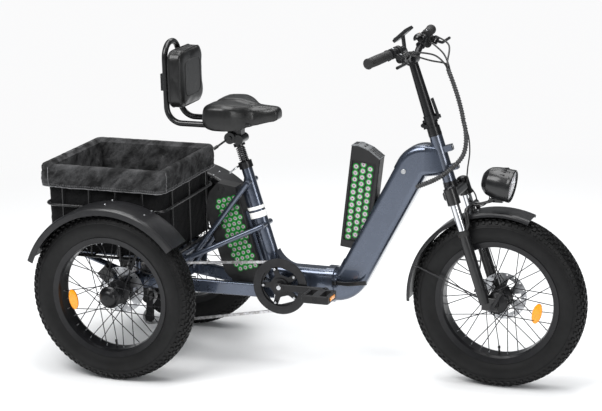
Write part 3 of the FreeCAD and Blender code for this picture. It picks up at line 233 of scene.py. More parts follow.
def smooth_path(points, step=6.0):
    """A Catmull-Rom curve through points, cut into even short steps."""
    points = [Vector(point) for point in points]
    ends = [points[0] * 2 - points[1]] + points + [points[-1] * 2 - points[-2]]
    out = []
    for index in range(1, len(ends) - 2):
        a, b, c, d = ends[index - 1:index + 3]
        pieces = max(2, int((c - b).length / step))
        for part in range(pieces):
            t = part / pieces
            out.append(0.5 * (2 * b + (c - a) * t + (2 * a - 5 * b + 4 * c - d) * t * t
                              + (3 * b - a - 3 * c + d) * t ** 3))
    out.append(points[-1])
    return out


def sweep_tube(path, radius, sides=12, closed=False):
    """A round tube along a list of points.  Radius is one number, or a list with one for each point."""
    path = [Vector(point) for point in path]
    count = len(path)
    points = []
    normal = None
    for index, centre in enumerate(path):
        if closed:
            ahead = (path[(index + 1) % count] - path[index - 1]).normalized()
        else:
            ahead = (path[min(index + 1, count - 1)] - path[max(index - 1, 0)]).normalized()
        if normal is None:
            normal = ahead.orthogonal().normalized()
        normal = (normal - ahead * normal.dot(ahead)).normalized()
        side = ahead.cross(normal)
        reach = radius[index] if isinstance(radius, list) else radius
        for turn in range(sides):
            angle = 2 * math.pi * turn / sides
            points.append(tuple(centre + normal * reach * math.cos(angle) + side * reach * math.sin(angle)))
    faces = quads(sides, count, wrap=closed)
    return np.array(points), faces if closed else faces + ends(sides, count)


def aim(centre, direction, toward=(0, 0, 1)):
    """Matrix that carries the Y axis onto a direction."""
    forward = Vector(direction).normalized()
    side = forward.cross(Vector(toward))
    if side.length < 1e-6:
        side = forward.orthogonal()
    side.normalize()
    up = side.cross(forward)
    return Matrix.Translation(Vector(centre)) @ Matrix((side, forward, up)).transposed().to_4x4()


# ---------------------------------------------------------------------------
# Materials
# ---------------------------------------------------------------------------
class Look:
    """A small builder for one node material."""

    def __init__(self, name):
        self.name = name
        self.material = bpy.data.materials.new(name + "_look")
        self.material.use_nodes = True
        self.tree = self.material.node_tree
        self.tree.nodes.clear()
        self.out = self.node("ShaderNodeOutputMaterial")
        self.shader = self.node("ShaderNodeBsdfPrincipled")
        self.link(self.shader.outputs[0], self.out.inputs[0])
        self.place = self.node("ShaderNodeTexCoord").outputs["Object"]
        self.height = None

    def node(self, kind, **settings):
        item = self.tree.nodes.new(kind)
        for key, value in settings.items():
            setattr(item, key, value)
        return item

    def link(self, source, target):
        self.tree.links.new(source, target)

    def set(self, **values):
        for key, value in values.items():
            self.shader.inputs[key.replace("_", " ").title().replace("Ior", "IOR")].default_value = value

    def stretched(self, scale):
        mapping = self.node("ShaderNodeMapping")
        mapping.inputs["Scale"].default_value = scale
        self.link(self.place, mapping.inputs["Vector"])
        return mapping.outputs[0]

    def texture(self, kind, place=None, **inputs):
        """A texture node with its input values, laid out by the object's own coordinates or by place."""
        item = self.node(kind)
        for key, value in inputs.items():
            item.inputs[key].default_value = value
        self.link(self.place if place is None else place, item.inputs["Vector"])
        return item

    def noise(self, scale, detail=4, rough=0.55, warp=0.0, place=None):
        return self.texture("ShaderNodeTexNoise", place, Scale=scale, Detail=detail, Roughness=rough,
                            Distortion=warp).outputs["Fac"]

    def cells(self, scale, feature="F1"):
        item = self.texture("ShaderNodeTexVoronoi", Scale=scale)
        item.feature = feature
        return item.outputs["Distance"]

    def waves(self, scale, direction="X", warp=0.0, place=None):
        item = self.texture("ShaderNodeTexWave", place, Scale=scale, Distortion=warp)
        item.bands_direction = direction
        return item.outputs["Fac"]

    def ramp(self, source, low, high, low_value=0.0, high_value=1.0):
        item = self.node("ShaderNodeMapRange")
        names = ("From Min", "From Max", "To Min", "To Max")
        for key, value in zip(names, (low, high, low_value, high_value)):
            item.inputs[key].default_value = value
        self.link(source, item.inputs["Value"])
        return item.outputs[0]

    def math(self, how, first, second):
        item = self.node("ShaderNodeMath", operation=how)
        for index, value in enumerate((first, second)):
            if isinstance(value, (int, float)):
                item.inputs[index].default_value = value
            else:
                self.link(value, item.inputs[index])
        return item.outputs[0]

    def mix(self, factor, first, second):
        item = self.node("ShaderNodeMix", data_type="RGBA")
        self.link(factor, item.inputs[0])
        for index, value in ((6, first), (7, second)):
            if isinstance(value, tuple):
                item.inputs[index].default_value = value + (1,)
            else:
                self.link(value, item.inputs[index])
        return item.outputs[2]

    def cloud(self, scale, detail, low, high):
        """Noise from 0 to 1, with its change between low and high."""
        return self.ramp(self.noise(scale, detail), low, high)

    def colour(self, source):
        self.link(source, self.shader.inputs["Base Color"])

    def roughness(self, source):
        self.link(source, self.shader.inputs["Roughness"])

    def polish(self, scale, detail, smooth, dull):
        """Roughness that drifts between two values."""
        self.roughness(self.ramp(self.noise(scale, detail), 0.3, 0.7, smooth, dull))

    def bump(self, source, strength, depth_mm):
        item = self.node("ShaderNodeBump")
        item.inputs["Strength"].default_value = strength
        item.inputs["Distance"].default_value = depth_mm * MM
        self.link(source, item.inputs["Height"])
        if self.height is not None:
            self.link(self.height, item.inputs["Normal"])
        self.height = item.outputs[0]
        self.link(self.height, self.shader.inputs["Normal"])

    def edges(self):
        """White where the surface is strongly convex."""
        return self.ramp(self.node("ShaderNodeNewGeometry").outputs["Pointiness"], 0.54, 0.66)


def coated(name, base, worn, rough, metallic=0.0, coat=0.0, grain=0.25, scale=900):
    """Paint, anodising or moulded plastic: mottled colour, fine grain, lighter on worn edges."""
    look = Look(name)
    dusty = tuple(channel * 1.3 + 0.002 for channel in base)
    body = look.mix(look.cloud(9, 5, 0.35, 0.7), base, dusty)
    wear = look.math("MULTIPLY", look.edges(), look.ramp(look.noise(60, 3), 0.4, 0.7, 0.0, 0.35))
    look.colour(look.mix(wear, body, worn))
    look.roughness(look.ramp(look.noise(40, 4), 0.3, 0.75, rough - 0.05, rough + 0.05))
    look.set(metallic=metallic, coat_weight=coat, coat_roughness=0.12, specular_ior_level=0.36)
    look.bump(look.noise(scale, 3), grain * 0.5, 0.12)
    return look


BLACK = (0.006, 0.006, 0.0065)
COATINGS = (
    ("black_paint", BLACK, (0.03, 0.03, 0.03), 0.30, 0.1, 0.35),
    ("black_alloy", (0.008, 0.008, 0.009), (0.05, 0.05, 0.052), 0.34, 0.35, 0.1, 0.2),
    ("black_plastic", BLACK, (0.025, 0.025, 0.025), 0.50, 0.0, 0.0, 0.6, 1400),
    ("gloss_black", BLACK, (0.03, 0.03, 0.03), 0.32, 0.0, 0.25, 0.15),
    ("fender", (0.009, 0.009, 0.010), (0.04, 0.04, 0.042), 0.36, 0.05, 0.2, 0.25, 1100),
    ("case_grey", (0.010, 0.010, 0.0105), (0.04, 0.04, 0.04), 0.42, 0.0, 0.0, 0.5, 1500),
    ("cap_grey", (0.115, 0.12, 0.125), (0.5, 0.5, 0.5), 0.42, 0.1, 0.0, 0.4, 1300),
    ("white_band", (0.82, 0.82, 0.80), (0.9, 0.9, 0.9), 0.35, 0.0, 0.3, 0.1),
    ("cell_green", (0.003, 0.22, 0.022), (0.02, 0.36, 0.06), 0.30, 0.0, 0.3, 0.1),
    ("cell_face", (0.46, 0.37, 0.43), (0.6, 0.55, 0.58), 0.34, 0.25, 0.1, 0.15),
    ("cell_pole", (0.20, 0.17, 0.19), (0.4, 0.4, 0.4), 0.3, 0.8, 0.0, 0.1),
    ("cable_grey", (0.045, 0.045, 0.047), (0.10, 0.10, 0.10), 0.4, 0.0, 0.0, 0.3),
)
METALS = (("bright_alloy", (0.60, 0.61, 0.63), 0.30), ("steel", (0.52, 0.53, 0.55), 0.32),
          ("spoke_steel", (0.030, 0.030, 0.032), 0.34), ("spring_steel", (0.15, 0.15, 0.155), 0.3))
CLOTHS = (("liner", (0.009, 0.009, 0.0094), (0.088, 0.088, 0.090)),
          ("liner_dark", (0.004, 0.004, 0.0044), (0.012, 0.012, 0.013)))


def paint_look():
    """Dark blue metallic paint under a clear coat, with a painted highlight of lighter blue-grey on convex
    edges.
    """
    paint = Look("frame_paint")
    flakes = paint.ramp(paint.cells(2600), 0.1, 0.5, 0.0, 0.5)
    base = paint.mix(flakes, (0.088, 0.107, 0.148), (0.078, 0.095, 0.133))
    base = paint.mix(paint.cloud(5, 3, 0.35, 0.7), base, (0.074, 0.090, 0.127))
    # Painted highlight: convex edges are painted a lighter blue-grey.
    paint.colour(paint.mix(paint.edges(), base, (0.12, 0.135, 0.17)))
    paint.polish(30, 3, 0.24, 0.33)
    paint.set(metallic=0.85, coat_weight=0.8, coat_roughness=0.06)
    paint.bump(paint.noise(1200, 2), 0.03, 0.03)
    return paint


def metal_look(name, base, rough):
    """Bare metal, drawn across its Y axis."""
    metal = Look(name)
    lines = metal.noise(60, 3, 0.6, 0, metal.stretched((1, 40, 1)))
    darker = tuple(channel * 0.72 for channel in base)
    metal.colour(metal.mix(metal.ramp(lines, 0.3, 0.7), base, darker))
    metal.roughness(metal.ramp(lines, 0.3, 0.7, rough - 0.06, rough + 0.12))
    metal.set(metallic=1.0)
    metal.bump(lines, 0.15, 0.05)
    return metal


def chain_look():
    chain = Look("chain_steel")
    chain.colour(chain.mix(chain.cloud(90, 4, 0.4, 0.65), (0.66, 0.66, 0.68), (0.34, 0.33, 0.32)))
    chain.polish(300, 3, 0.25, 0.5)
    chain.set(metallic=0.9)
    return chain


def chrome_look():
    chrome = Look("chrome")
    chrome.colour(chrome.mix(chrome.cloud(20, 3, 0.3, 0.7), (0.72, 0.73, 0.75), (0.60, 0.61, 0.63)))
    chrome.polish(200, 2, 0.05, 0.12)
    chrome.set(metallic=1.0)
    return chrome


def tyre_look():
    tyre = Look("tyre")
    dust = tyre.ramp(tyre.noise(14, 6, 0.65), 0.35, 0.75)
    tyre.colour(tyre.mix(dust, (0.0030, 0.0030, 0.0032), (0.0075, 0.0075, 0.0077)))
    tyre.polish(60, 4, 0.46, 0.6)
    tyre.bump(tyre.noise(700, 4), 0.5, 0.25)
    tyre.set(specular_ior_level=0.24)
    return tyre


def rubber_look():
    rubber = Look("rubber")
    rubber.colour(rubber.mix(rubber.cloud(20, 4, 0.4, 0.7), (0.008, 0.008, 0.008), (0.016, 0.016, 0.016)))
    rubber.polish(80, 3, 0.55, 0.75)
    rubber.bump(rubber.cells(700), 0.5, 0.3)
    return rubber


def leather_look():
    """Smooth leather with fine creases between its cells, painted darker as shade."""
    leather = Look("leather")
    crease = leather.ramp(leather.cells(420, "DISTANCE_TO_EDGE"), 0.0, 0.12)
    # Painted shade: the leather is darker in its creases.
    leather.colour(leather.mix(crease, (0.004, 0.004, 0.004), (0.0105, 0.0105, 0.0105)))
    leather.polish(60, 5, 0.27, 0.36)
    leather.bump(crease, 0.2, 0.15)
    leather.bump(leather.noise(40, 3), 0.1, 0.4)
    leather.set(specular_ior_level=0.42)
    return leather


def cloth_look(name, low, high):
    """Woven lining: slanting folds with painted light on their ridges and painted shade in their hollows,
    with a fine weave.
    """
    cloth = Look(name)
    slant = cloth.node("ShaderNodeMapping")
    slant.inputs["Rotation"].default_value = (math.radians(45), math.radians(-45), 0)
    cloth.link(cloth.place, slant.inputs["Vector"])
    drawn = cloth.node("ShaderNodeMapping")
    drawn.inputs["Scale"].default_value = (1.0, 1.0, 0.4)
    cloth.link(slant.outputs[0], drawn.inputs["Vector"])
    fold = cloth.noise(22, 7, 0.66, 0.3, drawn.outputs[0])
    # Painted light and shade: the ridges of the fold bump are painted pale and its hollows dark.
    lit_ridges = cloth.ramp(fold, 0.40, 0.62)
    fleck = cloth.ramp(cloth.noise(380, 3, 0.7), 0.35, 0.7)
    # The painted ridge light and fold shade, broken by fine random flecks in the yarn.
    shade = cloth.math("MULTIPLY", lit_ridges, cloth.math("ADD", cloth.math("MULTIPLY", fleck, 0.6), 0.4))
    cloth.colour(cloth.mix(shade, low, high))
    cloth.roughness(cloth.ramp(lit_ridges, 0, 1, 0.78, 0.92))
    weave = cloth.math("MULTIPLY", cloth.waves(420, "X", 0.6), cloth.waves(420, "Z", 0.6))
    cloth.bump(weave, 0.4, 0.3)
    cloth.bump(fold, 0.8, 9.0)
    cloth.set(specular_ior_level=0.2)
    return cloth


def thread_look():
    thread = Look("thread")
    thread.colour(thread.mix(thread.cloud(600, 2, 0.4, 0.6), (0.20, 0.20, 0.21), (0.12, 0.12, 0.12)))
    thread.bump(thread.waves(900, "X"), 0.5, 0.2)
    thread.set(roughness=0.8)
    return thread


def braid_look():
    """Two crossing sets of strands."""
    braid = Look("braid")
    one = braid.waves(190, "DIAGONAL", 0.2)
    other = braid.waves(190, "DIAGONAL", 0.2, braid.stretched((-1, 1, 1)))
    cross = braid.math("MULTIPLY", one, other)
    braid.colour(braid.mix(braid.ramp(cross, 0.25, 0.6), (0.010, 0.010, 0.010), (0.10, 0.10, 0.105)))
    braid.bump(cross, 0.6, 0.5)
    braid.set(roughness=0.5)
    return braid


def cable_look():
    cable_skin = Look("cable")
    dark, pale = (0.010, 0.010, 0.010), (0.022, 0.022, 0.022)
    cable_skin.colour(cable_skin.mix(cable_skin.cloud(50, 3, 0.4, 0.6), dark, pale))
    cable_skin.polish(200, 2, 0.38, 0.5)
    return cable_skin


def lens_look():
    glass = Look("lens")
    glass.colour(glass.mix(glass.cloud(30, 2, 0.3, 0.7), (0.9, 0.92, 0.94), (0.96, 0.97, 0.98)))
    glass.set(roughness=0.03, transmission_weight=0.9, ior=1.45)
    glass.bump(glass.cells(120), 0.1, 0.4)
    return glass


def screen_look():
    screen = Look("screen")
    screen.colour(screen.mix(screen.cloud(25, 3, 0.4, 0.6), (0.012, 0.014, 0.018), (0.03, 0.034, 0.04)))
    screen.polish(90, 2, 0.06, 0.14)
    screen.set(coat_weight=0.8)
    return screen


def amber_look():
    """Reflector plastic over small prisms, lighter in each prism's middle and darker at its rim, with a
    faint painted glow though it is no lamp.
    """
    amber = Look("amber")
    prism = amber.cells(420)
    amber.colour(amber.mix(amber.ramp(prism, 0.1, 0.7), (1.0, 0.44, 0.008), (0.85, 0.24, 0.002)))
    amber.bump(prism, 0.6, 0.8)
    # Painted glow: the reflector emits a faint amber light.
    amber.set(roughness=0.16, emission_strength=0.10, coat_weight=0.5)
    amber.shader.inputs["Emission Color"].default_value = (1.0, 0.42, 0.01, 1)
    return amber


def make_looks():
    looks = [paint_look(), chain_look(), chrome_look(), tyre_look(), rubber_look(), leather_look(),
             thread_look(), braid_look(), cable_look(), lens_look(), screen_look(), amber_look()]
    looks += [coated(*row) for row in COATINGS]
    looks += [metal_look(*row) for row in METALS]
    looks += [cloth_look(*row) for row in CLOTHS]
    return {look.name: look.material for look in looks}


LOOKS = make_looks()


def fork_look():
    """Black paint with bright stanchions between the crown and the lower legs."""
    look = coated("fork_crown", BLACK, (0.03, 0.03, 0.03), 0.30, 0.1, 0.35)
    up = HEAD.to_3x3().col[2]
    spot = look.node("ShaderNodeVectorMath", operation="DOT_PRODUCT")
    look.link(look.place, spot.inputs[0])
    spot.inputs[1].default_value = up
    level = HEAD.translation.dot(up) * MM
    below = look.ramp(spot.outputs["Value"], level - 0.0686, level - 0.0684, 1, 0)
    bright = look.node("ShaderNodeBsdfPrincipled")
    bright.inputs["Base Color"].default_value = (0.66, 0.67, 0.69, 1)
    bright.inputs["Metallic"].default_value = 1
    look.link(look.ramp(look.noise(120, 3), 0.3, 0.7, 0.06, 0.16), bright.inputs["Roughness"])
    blend = look.node("ShaderNodeMixShader")
    look.link(below, blend.inputs[0])
    look.link(look.shader.outputs[0], blend.inputs[1])
    look.link(bright.outputs[0], blend.inputs[2])
    look.link(blend.outputs[0], look.out.inputs[0])
    return look.material


NODE_LOOKS = {
    "black_alloy": ("front_rim", "right_rim", "left_rim", "front_hub", "right_hub", "left_hub", "chainring",
                    "crank_arms", "frame_latch", "headset_bearings", "front_axle", "seat_clamp",
                    "stem_lower", "stem_post", "stem_latch", "handlebar", "seat_post",
                    "right_brake_lever", "left_brake_lever"),
    "steel": ("front_rotor", "right_rotor", "left_rotor", "rear_bearings", "frame_hinge_pin"),
    "black_paint": ("drive_motor", "rear_calipers", "front_caliper", "fork_lowers", "saddle_frame",
                    "basket_frame"),
    "chain_steel": ("cassette",),
    "black_plastic": ("derailleur", "right_pedal", "left_pedal", "battery_cradle", "control_clamps",
                      "throttle_lever", "shift_lever"),
    "case_grey": ("front_battery", "rear_battery"),
    "frame_paint": ("rear_frame", "front_frame"),
    "fender": ("front_fender", "rear_fenders"),
    "gloss_black": ("headlight_housing", "display"),
    "lens": ("headlight_lens",),
}


def dress_frame():
    """Give every CAD node that stays visible its own finish."""
    for look, names in NODE_LOOKS.items():
        for name in names:
            dress(frame["nodes"][name], LOOKS[look])
    dress(frame["nodes"]["fork_crown"], fork_look())


def dress(item, material):
    item.data.materials.clear()
    item.data.materials.append(material)


# ---------------------------------------------------------------------------
# Wheels
# ---------------------------------------------------------------------------
CROWN = 288.4
KNOB_ROWS = 78
SPOKES = 36
REFLECTOR_SIDES = 28
TREAD = ((0, CROWN), (12, CROWN - 0.4), (22, CROWN - 1.6), (30, CROWN - 4.4), (36, CROWN - 9.2),
         (41, CROWN - 16), (45.5, CROWN - 25), (48.6, CROWN - 36), (49.4, CROWN - 46),
         (48.4, CROWN - 56), (45, CROWN - 66), (40.5, CROWN - 75), (38, CROWN - 81), (36.8, CROWN - 86.5))


def tread_point(across):
    """(radius, y, outward radial, outward sideways) a distance across the tread from the middle."""
    side = -1 if across < 0 else 1
    left = abs(across)
    for (y0, r0), (y1, r1) in zip(TREAD, TREAD[1:]):
        run = math.hypot(y1 - y0, r1 - r0)
        if left <= run:
            share = left / run
            tangent = ((y1 - y0) / run, (r1 - r0) / run)
            return r0 + (r1 - r0) * share, side * (y0 + (y1 - y0) * share), tangent[0], -side * tangent[1]
        left -= run
    return TREAD[-1][1], side * TREAD[-1][0], 0, side


def knob(angle, across, long_half, wide_half, height, lean):
    """One tread block, standing on the carcass."""
    points = []
    for lift, shrink in ((-1.2, 1.0), (height * 0.75, 0.92), (height, 0.78)):
        for a, b in CORNERS:
            radius, y, out, side = tread_point(across + b * wide_half * shrink)
            turn = angle + (a * long_half * shrink + b * lean) / CROWN
            radius += out * lift
            points.append((radius * math.cos(turn), y + side * lift, radius * math.sin(turn)))
    return points, ends(4, 3) + quads(4, 3)


def make_tyre(name, centre, body):
    outer = [(r, y) for y, r in TREAD]
    mirrored = [(r, -y) for y, r in TREAD[1:]]
    inner = [(203, 33), (212, 34), (235, 42), (262, 42), (279, 24), (280, 0)]
    inner_left = [(r, -y) for r, y in inner[:-1]]
    profile = outer[::-1] + mirrored + inner_left + inner[::-1]
    soup = Soup().add(lathe(profile, 180))
    for side in (-1, 1):
        bead = [(r, side * (y + 0.55)) for r, y in ((262, 48.4), (260.8, 49.1), (259.6, 48.7))]
        soup.add(lathe(bead, 120, closed=False))
    pitch = 2 * math.pi / KNOB_ROWS
    for index in range(KNOB_ROWS):
        angle = index * pitch
        late = angle + pitch / 2
        for side in (-1, 1):
            soup.add(knob(angle, side * 6.5, 6.8, 4.6, 4.4, side * 1.6))
            soup.add(knob(late, side * 18.5, 6.2, 4.8, 4.5, side * -1.4))
            soup.add(knob(angle, side * 30.5, 6.6, 4.9, 4.6, side * 1.0))
            soup.add(knob(late, side * 43.5, 5.2, 5.6, 4.2, 0))
            if index % 2:
                soup.add(knob(angle, side * 55, 3.4, 4.0, 1.5, 0))
    item = soup.piece(name + "_tread", "tyre", slot="tyre")
    item.location = centre * MM
    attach(item, body)
    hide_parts(name + "_tyre")


def wheel_details(name, centre, body, disc_y, turned, reach):
    """Valve, nipples, disc bolts, and a reflector at an angle and a reach from the axle."""
    turn = Matrix.Translation(centre)
    valve = Soup()
    valve.add(drum(3.1, 30, 0.8, 16), turn @ aim((0, 0, -176), (0, 0, 1)))
    valve.add(drum(4.4, 9, 1.0, 16), turn @ aim((0, 0, -164), (0, 0, 1)))
    valve.piece(name + "_valve", "rubber", body, "rubber")
    nipples = Soup()
    for index in range(SPOKES):
        side = 1 if index % 2 else -1
        out = polar(2 * math.pi * index / SPOKES)
        spot = out * 181.5 + Vector((0, side * 8.8, 0))
        nipples.add(drum(2.1, 9, 0.7, 8), turn @ aim(spot, out, (0, 1, 0)))
    nipples.piece(name + "_nipples", "steel", body, "steel")
    bolts = Soup()
    for index in range(6):
        spot = polar(math.radians(60 * index + 30), 22, disc_y)
        bolts.add(drum(3.4, 2.4, 0.6, 12), turn @ Matrix.Translation(spot))
    bolts.piece(name + "_disc_bolts", "steel", body, "steel")
    make_reflector(name, turn, body, math.radians(turned), reach)


def make_reflector(name, turn, body, angle, reach):
    """An oval reflector, doubled so that it shows on both sides of the spokes."""
    spot = polar(angle, reach)
    out = spot.normalized()
    side = Vector((-math.sin(angle), 0, math.cos(angle)))
    plate = Soup()
    for face in (-1, 1):
        points = []
        for y, shrink in ((0, 1.0), (3.4, 1.0), (5.2, 0.86)):
            level = Vector((0, face * y - 13, 0))
            for step in range(REFLECTOR_SIDES):
                a = 2 * math.pi * step / REFLECTOR_SIDES
                points.append(spot + out * (16 * math.cos(a) * shrink)
                              + side * (35 * math.sin(a) * shrink) + level)
        plate.add((points, ends(REFLECTOR_SIDES, 3) + quads(REFLECTOR_SIDES, 3)), turn)
    plate.piece(name + "_reflector", "amber", body)


def make_spokes(name, centre, body, flange_radius, flange_y):
    """Thirty-six crossed spokes with their bent heads in the hub flanges."""
    soup = Soup()
    for index in range(SPOKES):
        side = 1 if index % 2 else -1
        lean = 1 if index % 4 < 2 else -1
        angle = 2 * math.pi * index / SPOKES
        root = polar(angle + lean * math.radians(62), flange_radius, side * flange_y)
        tip = polar(angle, 182, side * 9)
        head = root * 0.96 + Vector((0, side * 2.6, 0))
        wire = [head, root.lerp(head, 0.4), root.lerp(tip, 0.03), tip]
        soup.add(sweep_tube(wire, 1.5, 8), Matrix.Translation(centre))
    item = soup.piece(name + "_spoke_wires", "spoke_steel", body, "chain_steel")
    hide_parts(name + "_spokes")


def make_wheels():
    make_tyre("front", FRONT_AXLE, "front_wheel")
    make_spokes("front", FRONT_AXLE, "front_wheel", 38.4, 36)
    wheel_details("front", FRONT_AXLE, "front_wheel", 52.2, -13.5, 134)
    for name, side in SIDES:
        centre = Vector((REAR_AXLE_X, side * TRACK_HALF, AXLE_Z))
        make_tyre(name, centre, name + "_wheel")
        make_spokes(name, centre, name + "_wheel", 43.4, 33.5)
        wheel_details(name, centre, name + "_wheel", -side * 64, 190, 150)


# ---------------------------------------------------------------------------
# Chain
# ---------------------------------------------------------------------------
PITCH = 12.7
RING_TEETH = 42
COG_TEETH = (28, 26, 24, 22, 20, 18, 16)
COG_IN_USE = 22
CURVE_STEPS = 40
CHAIN_Y = -80
GUIDE = (-600, 222)
TENSION = (-606, 142)


def chain_loop():
    """Points of the chain's centre line, as (x, z), round four wheels of (x, z, radius, turn)."""
    wheels = [(CRANK.x, CRANK.z, RING_TEETH * PITCH / (2 * math.pi), 1),
              (REAR_AXLE_X, AXLE_Z, COG_IN_USE * PITCH / (2 * math.pi), 1),
              GUIDE + (22, -1), TENSION + (22, 1)]
    runs = []
    for index in range(4):
        first, second = wheels[index], wheels[(index + 1) % 4]
        span = math.hypot(second[0] - first[0], second[1] - first[1])
        heading = math.atan2(second[1] - first[1], second[0] - first[0])
        heading -= math.asin((second[3] * second[2] - first[3] * first[2]) / span)
        across = (-math.sin(heading), math.cos(heading))
        runs.append([(x - turn * radius * across[0], z - turn * radius * across[1])
                     for x, z, radius, turn in (first, second)])
    line = []
    for index in range(4):
        line += runs[index]
        x, z, radius, turn = wheels[(index + 1) % 4]
        low = math.atan2(runs[index][1][1] - z, runs[index][1][0] - x)
        leaving = runs[(index + 1) % 4][0]
        high = math.atan2(leaving[1] - z, leaving[0] - x)
        if turn > 0 and high < low:
            high += 2 * math.pi
        if turn < 0 and high > low:
            high -= 2 * math.pi
        for step in range(1, CURVE_STEPS):
            angle = low + (high - low) * step / CURVE_STEPS
            line.append((x + radius * math.cos(angle), z + radius * math.sin(angle)))
    return line


def chain_pins():
    """Places of the chain's pins, evenly spaced along its line."""
    line = [Vector((x, CHAIN_Y, z)) for x, z in chain_loop()]
    line.append(line[0])
    lengths = [0.0]
    for first, second in zip(line, line[1:]):
        lengths.append(lengths[-1] + (second - first).length)
    count = 2 * round(lengths[-1] / PITCH / 2)
    pins = []
    spot = 0
    for index in range(count):
        want = lengths[-1] * index / count
        while lengths[spot + 1] < want:
            spot += 1
        share = (want - lengths[spot]) / max(lengths[spot + 1] - lengths[spot], 1e-9)
        pins.append(line[spot].lerp(line[spot + 1], share))
    return pins


def make_chain():
    """Pairs of round-ended plates, narrow and wide in turn, with a roller at each pin."""
    pins = chain_pins()
    soup = Soup()
    roller = drum(3.9, 4.6, 0.4, 12)
    across = Vector((0, 1, 0))
    for index, pin in enumerate(pins):
        following = pins[(index + 1) % len(pins)]
        ahead = following - pin
        outline = []
        for end, centre in ((-1, -ahead.length / 2), (1, ahead.length / 2)):
            for step in range(7):
                a = math.radians(-90 + 30 * step) + (math.pi if end < 0 else 0)
                outline.append((centre + 4.3 * math.cos(a), 4.3 * math.sin(a)))
        plate = [(x, y, z) for y in (-0.6, 0.6) for x, z in outline]
        faces = ends(len(outline), 2) + quads(len(outline), 2)
        side = ahead.normalized()
        turn = Matrix((side, across, side.cross(across))).transposed().to_4x4()
        place = Matrix.Translation((pin + following) / 2) @ turn
        offset = 3.0 if index % 2 else 1.9
        for face in (-1, 1):
            soup.add((plate, faces), place @ Matrix.Translation((0, face * offset, 0)))
        soup.add(roller, Matrix.Translation(pin))
    item = soup.piece("chain_links", "chain_steel", "rear_frame", "chain_steel")
    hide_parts("chain")


def ring_of_teeth(name, body, centre, count, y, look):
    """Sprocket teeth that stand between the chain's rollers."""
    root = count * PITCH / (2 * math.pi) - 4.6
    soup = Soup()
    for index in range(count):
        angle = 2 * math.pi * (index + 0.5) / count
        out = polar(angle)
        side = Vector((-math.sin(angle), 0, math.cos(angle)))
        points = []
        for reach, half, deep in ((-2, 4.6, 1.0), (1.5, 3.2, 1.0), (6.2, 0.9, 0.5)):
            for a, b in CORNERS:
                points.append(out * (root + reach) + side * a * half + Vector((0, b * deep, 0)))
        soup.add((points, ends(4, 3) + quads(4, 3)), Matrix.Translation((centre.x, y, centre.z)))
    soup.piece(name, look, body, "chain_steel")


def make_drive():
    make_chain()
    ring_of_teeth("chainring_teeth", "crankset", CRANK, RING_TEETH, CHAIN_Y, "black_alloy")
    hub = Vector((REAR_AXLE_X, 0, AXLE_Z))
    for index, count in enumerate(COG_TEETH):
        y = CHAIN_Y + 5 * (COG_TEETH.index(COG_IN_USE) - index)
        ring_of_teeth("cog_%d_teeth" % count, "cassette", hub, count, y, "chain_steel")
    bolts = Soup()
    for side in (-1, 1):
        bolts.add(drum(8, 3, 0.8, 24), Matrix.Translation((CRANK.x, side * 105, CRANK.z)))
    for index in range(5):
        angle = math.radians(72 * index + 36)
        spot = (CRANK.x + 62 * math.cos(angle), -90, CRANK.z + 62 * math.sin(angle))
        bolts.add(drum(4.5, 3, 0.6, 16), Matrix.Translation(spot))
    bolts.piece("crank_bolts", "steel", "crankset", "steel")
    ribs = Soup()
    for index in range(24):
        out = polar(math.radians(15 * index))
        for side in (-1, 1):
            middle = Vector((REAR_AXLE_X, side * 55, AXLE_Z)) + out * 60
            if middle.x > -560 and abs(middle.z - 290) < 22:
                continue
            ribs.bar(middle - out * 15, middle + out * 15, 3.2, 6, 0.8)
    ribs.piece("motor_ribs", "black_paint", "rear_frame", "black_paint")


def make_pedals():
    for name, _ in SIDES:
        centre = joint_place(name + "_pedal_spin")
        pins = Soup()
        for x in (-1, 1):
            for y in (-33, -11, 11, 33):
                for z in (-1, 1):
                    pins.add(drum(2.0, 3.2, 0.7, 10), aim(centre + Vector((x * 41, y, z * 13)), (0, 0, 1)))
        pins.add(drum(9.5, 92, 1.5, 24), Matrix.Translation(centre))
        pins.piece(name + "_pedal_pins", "black_alloy", name + "_pedal", "black_alloy")
        glow = Soup()
        for x in (-1, 1):
            glow.add(block(3, 44, 12, 1), Matrix.Translation(centre + Vector((x * 47.6, 0, 0))))
        glow.piece(name + "_pedal_reflectors", "amber", name + "_pedal")


# ---------------------------------------------------------------------------
# Soft goods
# ---------------------------------------------------------------------------
def inflate(item, cap_mm, hold, voxel, pressure):
    """Swell a closed mesh with cloth pressure.  A point moves by the cap at most, times hold's share."""
    remesh = item.modifiers.new("remesh", "REMESH")
    remesh.mode = "VOXEL"
    remesh.voxel_size = voxel
    apply_modifier(item, remesh)
    rest = np.array([vert.co for vert in item.data.vertices])
    cloth = item.modifiers.new("cloth", "CLOTH")
    cloth.settings.use_pressure = True
    cloth.settings.uniform_pressure_force = pressure
    cloth.settings.effector_weights.gravity = 0
    cloth.settings.tension_stiffness = 18
    cloth.settings.compression_stiffness = 18
    scene = bpy.context.scene
    for number in range(1, 21):
        scene.frame_set(number)
    graph = bpy.context.evaluated_depsgraph_get()
    swollen = item.evaluated_get(graph).to_mesh()
    shift = np.array([vert.co for vert in swollen.vertices]) - rest
    item.modifiers.remove(cloth)
    scene.frame_set(1)
    length = np.linalg.norm(shift, axis=1)
    scale = np.minimum(1.0, cap_mm * MM / np.maximum(length, 1e-9)) * hold(rest / MM)
    for vert, point in zip(item.data.vertices, rest + shift * scale[:, None]):
        vert.co = point
    item.data.update()
    relax = item.modifiers.new("relax", "SMOOTH")
    relax.factor = 0.5
    relax.iterations = 9
    apply_modifier(item, relax)


def apply_modifier(item, modifier):
    bpy.context.view_layer.objects.active = item
    graph = bpy.context.evaluated_depsgraph_get()
    mesh = bpy.data.meshes.new_from_object(item.evaluated_get(graph))
    item.modifiers.remove(modifier)
    old = item.data
    item.data = mesh
    bpy.data.meshes.remove(old)


